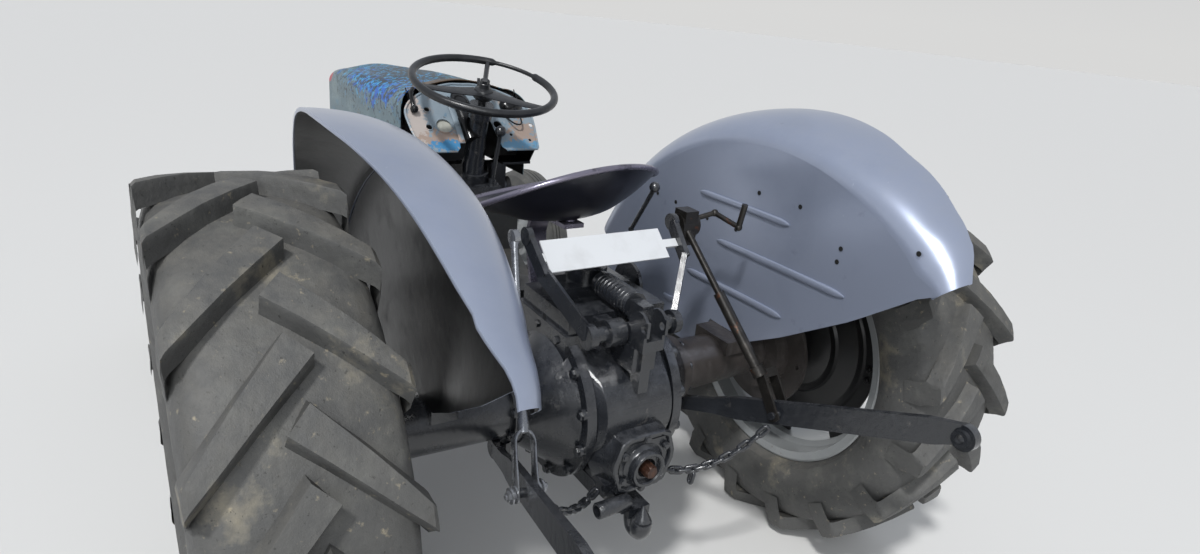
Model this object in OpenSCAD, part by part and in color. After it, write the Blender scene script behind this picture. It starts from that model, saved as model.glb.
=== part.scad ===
/* [Stance] */
// Distance from the rear axle to the front axle
wheelbase = 1778; // [1700:1:1860]
// Rear axle height, which is the rear tyre's radius out to the lug tips
rear_r = 598; // [585:1:612]
// Front tyre's radius
front_r = 352; // [340:1:365]
// Sideways distance from the middle to each rear wheel
rear_half_track = 808; // [800:1:840]
// Sideways distance from the middle to each front wheel
front_half_track = 735; // [720:1:762]

/* [Rear wheels] */
// Width of the rear tyre over its lugs
rear_tyre_w = 332; // [316:2:340]
// Height of a lug above the carcass
lug_h = 34; // [20:1:40]
// Number of lugs on each side of the tread
lug_count = 17; // [15:1:17]
// Radius of the rear rim's flange
rear_rim_r = 378; // [370:1:384]
// Width between the rear rim's flanges
rear_rim_w = 228; // [200:2:240]
// Wall of the rims
rim_wall = 6; // [4:0.5:8]
// Number of rim lugs that the rear disc is bolted to
rim_lug_count = 8; // [6:1:8]
// Radius of the rear disc between its rim lugs
rear_disc_r = 292; // [280:1:300]
// Thickness of the wheel discs
disc_t = 9; // [6:0.5:12]

/* [Front wheels] */
// Width of the front tyre
front_tyre_w = 150; // [130:2:160]
// Radius of the front rim's flange
front_rim_r = 215; // [205:1:222]
// Width between the front rim's flanges
front_rim_w = 108; // [96:2:116]
// Length of the axle from the kingpin to the front wheel's middle
spindle_reach = 118; // [110:1:130]

/* [Front axle] */
// Height of the front axle's beam
axle_beam_h = 66; // [56:1:74]
// Thickness of the front axle's beam
axle_beam_t = 44; // [36:1:50]
// Radius of the kingpin
kingpin_r = 16; // [12:0.5:18]
// Length of each steering arm
steer_arm = 150; // [130:1:160]
// Radius of the drag links
drag_link_r = 11; // [9:0.5:14]
// Running clearance of shafts in their bores
run_gap = 0.05; // [0.02:0.01:0.1]

/* [Bonnet] */
// Half width of the bonnet at its rear edge
bonnet_half_w = 222; // [214:1:228]
// Half width of the bonnet at its nose
bonnet_nose_half_w = 192; // [186:1:200]
// Height of the bonnet's top at the dash
bonnet_top_rear = 1252; // [1230:1:1275]
// Height of the bonnet's top at the nose
bonnet_top_front = 1190; // [1170:1:1215]
// Height of the bonnet's lower edge
bonnet_bottom = 938; // [920:1:960]
// Lengthwise place of the bonnet's rear edge
bonnet_rear_x = 872; // [865:1:880]
// Lengthwise place of the grille's front
nose_x = 1950; // [1940:1:1965]
// Thickness of the bonnet's sheet
sheet_t = 4; // [3:0.5:6]
// Number of bars in the grille
grille_bars = 15; // [9:2:19]

/* [Engine] */
// Width of the engine block
block_w = 250; // [220:2:270]
// Height of the engine block's underside
sump_z = 400; // [390:1:420]
// Height of the engine block's top face
block_top = 800; // [780:1:815]

/* [Steering] */
// Radius of the steering wheel to the middle of its rim
steer_wheel_r = 219; // [205:1:228]
// Radius of the steering wheel's rim section
steer_rim_r = 12; // [9:0.5:15]
// Lean of the steering column towards the seat
column_lean = 14; // [12:0.5:16]

/* [Rear housing] */
// Radius of the bolted ring where the axle housing meets the centre housing
ring_r = 205; // [195:1:215]
// Radius of the axle trumpets
trumpet_r = 66; // [58:1:72]
// Radius of the axle's flange at the brake backing plate
backplate_r = 178; // [168:1:190]
// Radius of the power take-off shaft
pto_r = 17.4; // [14.3:0.1:19]
// Height of the power take-off shaft
pto_z = 512; // [500:1:520]

/* [Linkage] */
// Height of the lower links' front pins
link_pin_z = 494; // [488:1:500]
// Sideways place of the lower links' front pins
link_pin_y = 285; // [280:1:292]
// Sideways place of the lower links' ball ends
link_ball_y = 471; // [464:1:480]
// Distance behind the rear axle of the lower links' ball ends
link_ball_x = 740; // [730:1:750]
// Height of the lower links' ball ends
link_ball_z = 757; // [745:1:768]
// Thickness of a lower link
link_t = 17; // [14:0.5:20]
// Depth of a lower link
link_h = 62; // [54:1:70]
// Radius of the hole in a lower link's ball
link_bore_r = 11.2; // [10:0.1:12]
// Height of the lift arms' cross shaft
lift_shaft_z = 829; // [822:1:836]
// Length of a lift arm
lift_arm_l = 257; // [250:1:264]
// Angle of the lift arms above the horizontal, leaning forward
lift_arm_angle = 51.5; // [49:0.5:54]
// Thickness of a lift arm
lift_arm_t = 14; // [11:0.5:17]

/* [Fenders] */
// Sideways place of the fenders' flat inner panels
fender_y = 470; // [464:1:480]
// Radius of the fender's crown
crown_r = 860; // [850:1:870]
// Rise of the crown above the edge of the flat panel
crown_rise = 92; // [80:1:104]
// Thickness of the fender's sheet
fender_t = 4; // [3:0.5:6]

/* [Seat] */
// Half width of the seat pan
seat_half_w = 266; // [240:1:275]
// Half length of the seat pan
seat_half_l = 178; // [165:1:190]
// Height of the seat pan's lowest point
seat_z = 1000; // [990:1:1010]
// Lengthwise place of the seat pan's middle
seat_x = 214; // [205:1:230]

/* [Hidden] */

seat_gap = 0.3;
rear_axle_z = rear_r;
front_axle_z = front_r;
link_eye_r = 30;
back_reach = link_ball_x + link_eye_r;
// The part's origin lies on the ground, in the middle of its length
x_origin = (wheelbase + front_r - back_reach) / 2;

kingpin_y = front_half_track - spindle_reach;
kingpin_top = 560;
drop_x = 880;
drop_face_y = 150;
drop_pivot_z = 902;
link_z = kingpin_top + 34;
arm_ball = [wheelbase, kingpin_y - steer_arm, link_z];
drop_ball = [drop_x, drop_face_y + 16 + 17.3, link_z];
column_base_x = 741 + tan(column_lean) * 300;
wheel_centre_z = 1268;
wheel_centre_x = 741;
column_base_z = wheel_centre_z - 300;

lift_shaft_x = -145;
lift_shaft_half = 122;
lift_arm_y = 212;
arm_end_x = lift_shaft_x + lift_arm_l * cos(lift_arm_angle);
arm_end_z = lift_shaft_z + lift_arm_l * sin(lift_arm_angle);
link_pin_x = -20;
link_pitch = atan2(link_ball_z - link_pin_z, link_ball_x + link_pin_x);
link_splay = atan2(link_ball_y - link_pin_y, link_ball_x + link_pin_x);
link_len = norm([link_ball_x + link_pin_x, link_ball_y - link_pin_y, link_ball_z - link_pin_z]);
// Share of a lower link's length at which the lift rod is pinned
rod_share = 0.43;
rod_foot = [
  link_pin_x - rod_share * (link_ball_x + link_pin_x),
  link_pin_y + rod_share * (link_ball_y - link_pin_y),
  link_pin_z + rod_share * (link_ball_z - link_pin_z)
];
rod_head = [arm_end_x, lift_arm_y + 34, arm_end_z];
chain_anchor = [-215, 92, 452];

module mirror_if(on) {
  if (on) mirror([0, 1, 0]) children();
  else children();
}

module placed() {
  translate([-x_origin, 0, 0]) children();
}

// A cylinder along the Y axis, centred on its middle
module y_rod(r, l, fn = 48) {
  rotate([90, 0, 0]) cylinder(r = r, h = l, center = true, $fn = fn);
}

// A round bar from one point to another
module bar(a, b, r, fn = 24) {
  d = b - a;
  l = norm(d);
  translate(a)
    rotate([0, acos(d[2] / l), atan2(d[1], d[0])])
      cylinder(r = r, h = l, $fn = fn);
}

// A flat bar from one point to another, with its width across the Y axis
module flat_bar(a, b, thick, deep) {
  d = b - a;
  l = norm(d);
  translate(a)
    rotate([0, 0, atan2(d[1], d[0])])
      rotate([0, -asin(d[2] / l), 0])
        translate([0, -thick / 2, -deep / 2])
          cube([l, thick, deep]);
}

// Rear tyres: a carcass with slanted lugs that run from the middle over the shoulder
carcass_r = rear_r - lug_h;
// Flat sides of the carcass round its turn
carcass_sides = 34;
bead_r = (rear_rim_r - 22 + seat_gap) / cos(180 / carcass_sides);
bead_y = rear_rim_w / 2 - rim_wall - seat_gap;
carcass_profile = [
  [bead_r, -bead_y], [rear_rim_r + 2, -bead_y], [rear_rim_r + 18, -rear_tyre_w * 0.44],
  [carcass_r * 0.83, -rear_tyre_w * 0.49], [carcass_r * 0.945, -rear_tyre_w * 0.45],
  [carcass_r, -rear_tyre_w * 0.22], [carcass_r, rear_tyre_w * 0.22],
  [carcass_r * 0.945, rear_tyre_w * 0.45], [carcass_r * 0.83, rear_tyre_w * 0.49],
  [rear_rim_r + 18, rear_tyre_w * 0.44], [rear_rim_r + 2, bead_y], [bead_r, bead_y]
];
// Lug stations, from the nose past the tread's middle to the sidewall: turn of the leading edge,
// share of half the width of the leading edge, the same two of the trailing edge, drop of the top
lug_stations = [
  [0.0, -0.17, -4.1, 0.05, 0],
  [9.2, 0.42, 4.8, 0.52, 0],
  [18.2, 0.985, 14.2, 0.985, 3],
  [19.6, 1.0, 15.4, 1.0, 96]
];
lug_flank = 1.5;

function lug_ring(q, rise) = let(
    r = rear_r - q[4], foot = r - rise, half = rear_tyre_w / 2,
    a = q[0] + lug_flank, b = q[2] - lug_flank)
  [[foot * cos(a), foot * sin(a), half * q[1]], [r * cos(q[0]), r * sin(q[0]), half * q[1]],
   [r * cos(q[2]), r * sin(q[2]), half * q[3]], [foot * cos(b), foot * sin(b), half * q[3]]];

module rear_tyre(left) {
  color("dimgray") translate([0, left ? rear_half_track : -rear_half_track, rear_axle_z])
    rotate([90, 0, 0]) union() {
      rotate_extrude($fn = carcass_sides) polygon(carcass_profile);
      for (side = [0, 1], i = [0 : lug_count - 1])
        mirror([0, 0, side])
          rotate([0, 0, (i + (1 - side) * 0.5) * 360 / lug_count])
            for (k = [0 : len(lug_stations) - 2])
              hull() loft([lug_ring(lug_stations[k], lug_h + 12), lug_ring(lug_stations[k + 1], lug_h + (k == 2 ? 0 : 12))]);
    }
}

// Rim sections are drawn as radius and width, and turned about the axle
module rim_ring(flange_r, width, well) {
  bead = flange_r - 22;
  half = width / 2;
  rotate([90, 0, 0]) rotate_extrude($fn = 96) polygon([
    [flange_r, -half], [flange_r, -half + rim_wall], [bead, -half + rim_wall],
    [bead, -half + 44], [bead - well, -half + 62], [bead - well, half - 62],
    [bead, half - 44], [bead, half - rim_wall], [flange_r, half - rim_wall], [flange_r, half],
    [bead - rim_wall, half], [bead - rim_wall, half - 46],
    [bead - well - rim_wall, half - 64], [bead - well - rim_wall, -half + 64],
    [bead - rim_wall, -half + 46], [bead - rim_wall, -half]
  ]);
}

rear_disc_y = 30;
hub_r = 92;
module rear_wheel(left) {
  well = 16;
  seat_r = rear_rim_r - 22 - well - rim_wall;
  mirror_if(!left) color("silver") translate([0, rear_half_track, rear_axle_z]) {
    difference() {
      union() {
        rim_ring(rear_rim_r, rear_rim_w, well);
        // Dished disc
        rotate([90, 0, 0]) rotate_extrude($fn = 96) polygon([
          [40, 58], [hub_r, 58], [150, 30], [238, 4], [rear_disc_r, 4],
          [rear_disc_r, 4 + disc_t], [240, 4 + disc_t], [152, 30 + disc_t],
          [hub_r, 58 + disc_t], [40, 58 + disc_t]
        ]);
        for (i = [0 : rim_lug_count - 1]) rotate([0, i * 360 / rim_lug_count, 0]) {
          translate([rear_disc_r - 40, -4 - disc_t - 6, -42]) cube([seat_r - rear_disc_r + 44, 8, 84]);
        }
        // Hub and its stub, which runs in the backing plate's bore
        translate([0, -78, 0]) y_rod(hub_r - 14, 44, 72);
        translate([0, -142, 0]) y_rod(34, 90, 48);
        translate([0, -48, 0]) y_rod(46, 30, 48);
      }
      for (i = [0 : 7]) rotate([0, i * 45 + 22.5, 0]) translate([195, 0, 0]) y_rod(12, 120, 24);
    }
    for (i = [0 : 5]) rotate([0, i * 60, 0]) translate([66, -50, 0]) y_rod(11, 22, 6);
    for (i = [0 : rim_lug_count - 1]) rotate([0, i * 360 / rim_lug_count, 0])
      translate([rear_disc_r - 16, -20, 0]) y_rod(11, 16, 6);
  }
}

front_profile_w = front_tyre_w / 2;
module front_tyre(left) {
  bead = front_rim_r - 16 + seat_gap;
  side = front_rim_w / 2 - rim_wall - seat_gap;
  mirror_if(!left) color("dimgray") translate([0, front_half_track, front_axle_z])
    translate([wheelbase, 0, 0]) rotate([90, 0, 0]) rotate_extrude($fn = 64) polygon([
      [bead, -side], [front_rim_r + 2, -side], [front_rim_r + 14, -front_profile_w * 0.86],
      [front_r * 0.8, -front_profile_w], [front_r * 0.92, -front_profile_w * 0.86],
      [front_r - 8, -front_profile_w * 0.62], [front_r - 8, -front_profile_w * 0.34],
      [front_r - 1, -front_profile_w * 0.30], [front_r - 1, -front_profile_w * 0.14],
      [front_r - 8, -front_profile_w * 0.12], [front_r - 8, -front_profile_w * 0.08],
      [front_r, -front_profile_w * 0.06], [front_r, front_profile_w * 0.06],
      [front_r - 8, front_profile_w * 0.08], [front_r - 8, front_profile_w * 0.12],
      [front_r - 1, front_profile_w * 0.14], [front_r - 1, front_profile_w * 0.30],
      [front_r - 8, front_profile_w * 0.34], [front_r - 8, front_profile_w * 0.62],
      [front_r * 0.92, front_profile_w * 0.86], [front_r * 0.8, front_profile_w],
      [front_rim_r + 14, front_profile_w * 0.86], [front_rim_r + 2, side], [bead, side]
    ]);
}

spindle_r = 19;
module front_wheel(left) {
  mirror_if(!left) color("gray") translate([wheelbase, front_half_track, front_axle_z])
    difference() {
      union() {
        rotate([90, 0, 0]) rotate_extrude($fn = 96) polygon([
          [front_rim_r, -front_rim_w / 2], [front_rim_r, -front_rim_w / 2 + rim_wall],
          [front_rim_r - 16, -front_rim_w / 2 + rim_wall], [front_rim_r - 28, -14],
          [front_rim_r - 28, 14], [front_rim_r - 16, front_rim_w / 2 - rim_wall],
          [front_rim_r, front_rim_w / 2 - rim_wall], [front_rim_r, front_rim_w / 2],
          [front_rim_r - 22, front_rim_w / 2], [front_rim_r - 34, 16],
          [front_rim_r - 34, -16], [front_rim_r - 22, -front_rim_w / 2]
        ]);
        rotate([90, 0, 0]) rotate_extrude($fn = 96) polygon([
          [46, 22], [80, 22], [118, -4], [front_rim_r - 32, -4],
          [front_rim_r - 32, -4 + disc_t], [120, -4 + disc_t], [82, 22 + disc_t], [46, 22 + disc_t]
        ]);
        translate([0, -12, 0]) y_rod(50, 84, 64);
        translate([0, 40, 0]) y_rod(32, 24, 48);
      }
      translate([0, -14, 0]) y_rod(spindle_r + run_gap, 92, 48);
      for (i = [0 : 4]) rotate([0, i * 72, 0]) translate([150, 0, 0]) y_rod(14, 90, 24);
    }
}

// Knuckles: the kingpin, its spindle and the steering arm on top
module knuckle(left) {
  mirror_if(!left) color("dimgray") {
    translate([wheelbase, kingpin_y, front_axle_z - 44]) cylinder(r = kingpin_r, h = kingpin_top + 24 - front_axle_z + 44, $fn = 48);
    translate([wheelbase, kingpin_y, front_axle_z - 44]) cylinder(r = kingpin_r + 14, h = 88, $fn = 48);
    bar([wheelbase, kingpin_y, front_axle_z], [wheelbase, front_half_track + 25, front_axle_z], spindle_r, 48);
    translate([wheelbase, kingpin_y, kingpin_top + 1]) cylinder(r = kingpin_r + 12, h = 24, $fn = 48);
    translate([wheelbase - 17, kingpin_y - steer_arm, kingpin_top + 4]) cube([34, steer_arm - kingpin_r, 16]);
    translate([wheelbase, kingpin_y - steer_arm, kingpin_top + 4]) cylinder(r = 22, h = 16, $fn = 48);
    translate([wheelbase, kingpin_y - steer_arm, kingpin_top + 4]) cylinder(r = 9, h = 40, $fn = 32);
  }
}

// The front axle: a middle beam on its pivot, two sliding ends and their kingpin tubes
axle_z = front_axle_z + 120;
module front_axle() {
  tube_bottom = front_axle_z + 45;
  tube_h = kingpin_top - tube_bottom;
  color("dimgray") difference() {
    union() {
      translate([wheelbase - axle_beam_t / 2, -400, axle_z - axle_beam_h / 2]) cube([axle_beam_t, 800, axle_beam_h]);
      for (side = [-1, 1]) {
        translate([wheelbase - axle_beam_t / 2 + (side > 0 ? 6 : 6), min(side * 250, side * kingpin_y), axle_z - axle_beam_h / 2 + 8])
          cube([axle_beam_t - 12, kingpin_y - 250, axle_beam_h - 16]);
        translate([wheelbase, side * kingpin_y, tube_bottom]) cylinder(r = kingpin_r + 13, h = tube_h, $fn = 64);
        for (k = [0 : 3]) translate([wheelbase, side * (270 + k * 38), axle_z])
          rotate([0, 90, 0]) cylinder(r = 11, h = axle_beam_t + 18, center = true, $fn = 6);
      }
      translate([wheelbase - 62, 0, axle_z]) rotate([0, 90, 0]) cylinder(r = 44, h = 124, $fn = 64);
      translate([engine_front + 40.3, 0, axle_z]) rotate([0, 90, 0]) cylinder(r = 24 - seat_gap, h = 201.7, $fn = 64);
    }
    for (side = [-1, 1]) translate([wheelbase, side * kingpin_y, tube_bottom - 5])
      cylinder(r = kingpin_r + run_gap, h = tube_h + 10, $fn = 64);
  }
}

// Radius rods run from the axle's ends back to the gearbox
rod_front = [wheelbase - 42, kingpin_y - 70, axle_z - 14];
rod_rear = [850, 178, 420];
module radius_rods() {
  color("dimgray") for (side = [-1, 1]) {
    a = [rod_front[0], side * rod_front[1], rod_front[2]];
    b = [rod_rear[0], side * rod_rear[1], rod_rear[2]];
    bar(a, b, 17, 32);
    translate(a) sphere(r = 27, $fn = 32);
    translate(b) sphere(r = 27, $fn = 32);
    translate([rod_front[0] + 6, a[1] - 16, a[2] - 16]) cube([wheelbase - axle_beam_t / 2 + 6 - seat_gap - rod_front[0] - 6, 32, 32]);
    translate([b[0], side * 143.2, b[2]]) rotate([side * -90, 0, 0]) cylinder(r = 16, h = 30, $fn = 32);
  }
}

module drag_link(left) {
  mirror_if(!left) color("dimgray") difference() {
    union() {
      translate(arm_ball - [0, 0, 9]) cylinder(r = 20, h = 18, $fn = 48);
      bar(arm_ball, drop_ball, drag_link_r, 32);
      translate(drop_ball) sphere(r = 17, $fn = 32);
    }
    translate(arm_ball - [0, 0, 20]) cylinder(r = 9 + run_gap, h = 40, $fn = 48);
  }
}

// Drop arms hang from the steering box's shaft
drop_shaft_r = 20;
module drop_arm(left) {
  mirror_if(!left) color("dimgray") difference() {
    union() {
      translate([drop_x, drop_face_y + 8, drop_pivot_z]) y_rod(32, 16, 48);
      translate([drop_x - 16, drop_face_y, link_z]) cube([32, 16, drop_pivot_z - link_z]);
      translate([drop_x, drop_face_y + 8, link_z]) y_rod(21, 16, 48);
    }
    translate([drop_x, drop_face_y, drop_pivot_z]) y_rod(drop_shaft_r + run_gap, 60, 48);
  }
}

// The engine as one plain block, with its head, sump, fan and front cover
hinge_x = wheelbase + 78;
hinge_z = 616;
hinge_pin_r = 10;
engine_back = 1010;
engine_front = 1640;
module engine() {
  color("gray") {
    difference() {
      union() {
        translate([engine_back, -block_w / 2, sump_z + 110]) cube([engine_front - engine_back, block_w, block_top - sump_z - 110]);
        translate([engine_back + 20, -block_w / 2 + 22, sump_z]) cube([engine_front - engine_back - 90, block_w - 44, 112]);
        translate([engine_back + 40, -block_w / 2 + 30, block_top - 2]) cube([engine_front - engine_back - 80, block_w - 50, 74]);
        translate([engine_back + 60, -38, block_top + 70]) cube([engine_front - engine_back - 120, 84, 34]);
        for (k = [0 : 3]) translate([engine_back + 110 + k * 130, block_w / 2 - 24, block_top + 36])
          rotate([-70, 0, 0]) cylinder(r = 14, h = 40, $fn = 6);
        translate([engine_front - 4, 0, 640]) rotate([0, 90, 0]) cylinder(r = 92, h = 34, $fn = 64);
        translate([engine_front + 28, 0, 700]) rotate([0, 90, 0]) cylinder(r = 40, h = 18, $fn = 48);
      }
      translate([engine_back - 1, -40, sump_z - 1]) cube([10, 80, 20]);
    }
    for (k = [0 : 3]) translate([engine_front + 34, 0, 700]) rotate([k * 90, 0, 0])
      translate([0, -32, 30]) rotate([0, 0, 18]) cube([6, 64, 120]);
    translate([engine_front - 2, 0, 700]) rotate([0, 90, 0]) cylinder(r = 30, h = 40, $fn = 48);
    // Side-mounted dynamo and oil filter
    translate([engine_back + 330, -block_w / 2 - 46, 640]) rotate([0, 90, 0]) cylinder(r = 50, h = 190, $fn = 48);
    translate([engine_back + 120, block_w / 2 + 33, 560]) cylinder(r = 38, h = 130, $fn = 48);
    // Bolster under the radiator, which carries the axle's pivot
    translate([engine_front - 20, -95, sump_z + 40]) cube([60, 190, 150]);
    for (side = [-1, 1]) translate([engine_front - 20, side * 80 - 14, sump_z + 116]) cube([wheelbase - engine_front + 92, 28, 74]);
    translate([hinge_x, 0, hinge_z]) y_rod(hinge_pin_r, 240, 48);
    difference() {
      union() {
        translate([wheelbase - 62.3 - 30, -95, axle_z - 70]) cube([30, 190, sump_z + 190 - axle_z + 70]);
        translate([wheelbase + 62.3, -95, axle_z - 70]) cube([30, 190, hinge_z + 16 - axle_z + 70]);
      }
      translate([wheelbase - 200, 0, axle_z]) rotate([0, 90, 0]) cylinder(r = 24, h = 400, $fn = 48);
    }
  }
}

// Inlet and exhaust branches, with the silencer pipe that runs back under the footrest
module manifold() {
  y = block_w / 2 + 34;
  color("sienna") {
    translate([engine_back + 90, -y, block_top - 60]) rotate([0, 90, 0]) cylinder(r = 26, h = 440, $fn = 32);
    for (k = [0 : 3]) translate([engine_back + 130 + k * 120, -y, block_top - 60]) rotate([-90, 0, 0]) cylinder(r = 20, h = 33.7, $fn = 32);
    translate([engine_back + 300, -y - 6, block_top - 50]) cylinder(r = 30, h = 96, $fn = 32);
    bar([engine_back + 160, -y, block_top - 60], [engine_back + 110, -y - 30, 345], 20, 32);
    translate([engine_back + 110, -y - 30, 345]) sphere(r = 23, $fn = 32);
    bar([engine_back + 110, -y - 30, 345], [740, -y - 30, 343], 20, 32);
    translate([470, -y - 30, 343]) rotate([0, 90, 0]) cylinder(r = 44, h = 290, $fn = 48);
    translate([300, -y - 30, 343]) rotate([0, 90, 0]) cylinder(r = 18, h = 190, $fn = 32);
  }
}

radiator_x = 1722;
module radiator() {
  color("dimgray") difference() {
    union() {
      translate([radiator_x, -164, 640]) cube([78, 328, 440]);
      translate([radiator_x - 6, -170, 1064]) cube([90, 340, 56]);
      translate([radiator_x - 6, -170, sump_z + 190 + seat_gap]) cube([90, 340, 64]);
      translate([radiator_x + 38, 0, 1110]) cylinder(r = 34, h = 42, $fn = 48);
    }
    for (k = [0 : 12]) translate([radiator_x + 70, -152, 668 + k * 30]) cube([20, 304, 12]);
  }
}

module fuel_tank() {
  r = 62;
  color("dimgray") union() {
    hull() for (y = [-72, 72], z = [1012, 1082], x = [1080, 1560])
      translate([x, y, z]) rotate([0, 90, 0]) cylinder(r = r, h = 8, $fn = 32);
    translate([1180, 0, 1130]) cylinder(r = 34, h = 48, $fn = 32);
    for (x = [1120, 1500]) translate([x, -96, block_top + 104.3]) cube([34, 192, 60]);
  }
}

// Sections of the bonnet: place along the length, half width, height of the shoulder, height of the top
bonnet_sections = [
  [bonnet_rear_x, bonnet_half_w, bonnet_top_rear - 82, bonnet_top_rear + 2],
  [1300, bonnet_half_w - 10, bonnet_top_rear - 108, bonnet_top_rear - 16],
  [1800, bonnet_nose_half_w, bonnet_top_front - 72, bonnet_top_front + 4],
  [1896, bonnet_nose_half_w - 8, bonnet_top_front - 84, bonnet_top_front - 14],
  [nose_x - 14, bonnet_nose_half_w - 36, bonnet_top_front - 150, bonnet_top_front - 86]
];
arc_steps = 7;
function bonnet_outline(s, inset, floor_z) = concat(
  [[s[0], s[1] - inset, floor_z]],
  [for (i = [0 : arc_steps]) let(a = 90 * i / arc_steps)
    [s[0], (s[1] - inset) * (1 - 0.34 * (1 - cos(a))) - (i == arc_steps ? 0 : 0), s[2] + (s[3] - s[2] - inset) * 0.72 * sin(a)]],
  [[s[0], 0, s[3] - inset]],
  [for (i = [arc_steps : -1 : 0]) let(a = 90 * i / arc_steps)
    [s[0], -(s[1] - inset) * (1 - 0.34 * (1 - cos(a))), s[2] + (s[3] - s[2] - inset) * 0.72 * sin(a)]],
  [[s[0], -s[1] + inset, floor_z]]
);
module loft(rings) {
  n = len(rings[0]);
  m = len(rings);
  polyhedron(
    points = [for (r = rings) for (p = r) p],
    faces = concat(
      [[for (i = [0 : n - 1]) i]],
      [for (k = [0 : m - 2], i = [0 : n - 1]) [k * n + i, (k + 1) * n + i, (k + 1) * n + (i + 1) % n]],
      [for (k = [0 : m - 2], i = [0 : n - 1]) [k * n + i, (k + 1) * n + (i + 1) % n, k * n + (i + 1) % n]],
      [[for (i = [n - 1 : -1 : 0]) (m - 1) * n + i]]
    ), convexity = 6);
}
module bonnet() {
  nose_bottom = 655;
  last = bonnet_sections[len(bonnet_sections) - 1];
  color("steelblue") {
    difference() {
      union() {
        loft([for (s = bonnet_sections) bonnet_outline(s, 0, bonnet_bottom)]);
        // Nose shell that carries the grille
        translate([1822, 0, 0]) rotate([0, 0, 0]) loft([
          for (q = [[0, bonnet_nose_half_w - 1], [74, bonnet_nose_half_w - 8], [nose_x - 14 - 1822, bonnet_nose_half_w - 36]])
            [[q[0], q[1], nose_bottom], [q[0], q[1], bonnet_bottom + 40], [q[0], -q[1], bonnet_bottom + 40], [q[0], -q[1], nose_bottom]]
        ]);
      }
      loft([for (s = bonnet_sections) bonnet_outline([s[0] + (s == bonnet_sections[0] ? -1 : (s == last ? -sheet_t * 2 : 0)), s[1], s[2], s[3]], sheet_t, bonnet_bottom - 2)]);
      translate([1818, -bonnet_nose_half_w + 40, nose_bottom + 6]) cube([nose_x - 14 - 1818 - 16, 2 * bonnet_nose_half_w - 80, 400]);
      // Grille opening
      translate([nose_x - 60, -118, nose_bottom + 24]) cube([80, 236, 370]);
      translate([dash_top_x, 0, bonnet_top_rear + 3]) rotate([0, dash_rake, 0]) translate([-300, -400, -300]) cube([300, 800, 400]);
    }
    for (k = [0 : grille_bars - 1])
      translate([nose_x - 26, -112 + k * 224 / (grille_bars - 1) - 3, nose_bottom + 23]) cube([9, 6, 372]);
    translate([nose_x - 20, -119, 840]) cube([6, 238, 10]);
    // Hinge ears under the nose
    for (side = [-1, 1]) difference() {
      translate([hinge_x - 20, side * 108 - 8, hinge_z - 20]) cube([50, 16, nose_bottom + 4 - hinge_z + 20]);
      translate([hinge_x, side * 108, hinge_z]) y_rod(hinge_pin_r + run_gap, 40, 48);
    }
  }
}

// The dash: a panel that slopes away from the driver, with gauge holes, between two cheeks
dash_rake = 47.5;
dash_bottom_x = 733;
dash_bottom_z = 1062;
dash_top_x = 934;
dash_h = (dash_top_x - dash_bottom_x) / sin(dash_rake);
module dash() {
  color("tan") {
    translate([dash_bottom_x, 0, dash_bottom_z]) rotate([0, dash_rake, 0]) difference() {
      union() {
        rotate([90, 0, 90]) linear_extrude(height = sheet_t) polygon([
          [-198, 0], [198, 0], [215, 90], [218, 150], [196, 188], [150, 220], [90, 248], [40, 262],
          [-40, 262], [-90, 248], [-150, 220], [-196, 188], [-218, 150], [-215, 90]
        ]);
        translate([-7, 112, 20]) rotate([14, 0, 0]) translate([0, -14, 0]) cube([10, 26, 200]);
        translate([-16, -120, 150]) rotate([0, 90, 0]) cylinder(r = 38, h = 18, $fn = 48);
        translate([-8, 176, 60]) cube([11, 12, 84]);
      }
      translate([-40, -84, -20]) cube([80, 130, 140]);
      for (h = [[128, 92, 25], [160, 160, 10], [152, 116, 10], [-110, 78, 14], [-168, 96, 10], [-150, 44, 8]])
        translate([-40, h[0], h[1]]) rotate([0, 90, 0]) cylinder(r = h[2], h = 80, $fn = 32);
    }
    // Cheeks that carry the panel on the tray behind it
    for (side = [-1, 1]) translate([0, side * 190 + (side > 0 ? 4 : 0), 0]) rotate([90, 0, 0]) linear_extrude(height = 4)
      polygon([[dash_bottom_x + 2, dash_bottom_z + 2], [862, 1180], [862, 1010], [dash_bottom_x + 40, 1010]]);
    for (side = [-1, 1]) translate([770, side * 141 - 51, 1004]) cube([96, 102, 8]);
    for (side = [-1, 1]) translate([790, side * 100 - 12, 868]) cube([40, 24, 140]);
  }
}

housing_front = 216;
// The gearbox casing from the engine back to the centre housing
module gearbox() {
  color("dimgray") {
    difference() {
      union() {
        translate([850, -140, 392]) cube([engine_back - 850 - seat_gap, 280, 400]);
        hull() {
          translate([850, -140, 400]) cube([10, 280, 380]);
          translate([560, -105, 420]) cube([10, 210, 270]);
        }
        translate([housing_front + seat_gap, -105, 420]) cube([570 - housing_front, 210, 270]);
        translate([housing_front + seat_gap, -150, 400]) cube([22, 300, 320]);
        translate([700, -120, 660]) cube([250, 240, 207.7]);
        translate([760, -143, 400]) cube([180, 286, 60]);
      }
    }
    translate([460, 0, 684]) cylinder(r = 66, h = 32, $fn = 64);
    for (side = [-1, 1], z = [440, 540, 640]) translate([housing_front + 20, side * 134, z]) rotate([0, 90, 0]) cylinder(r = 10, h = 12, $fn = 6);
  }
}

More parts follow.
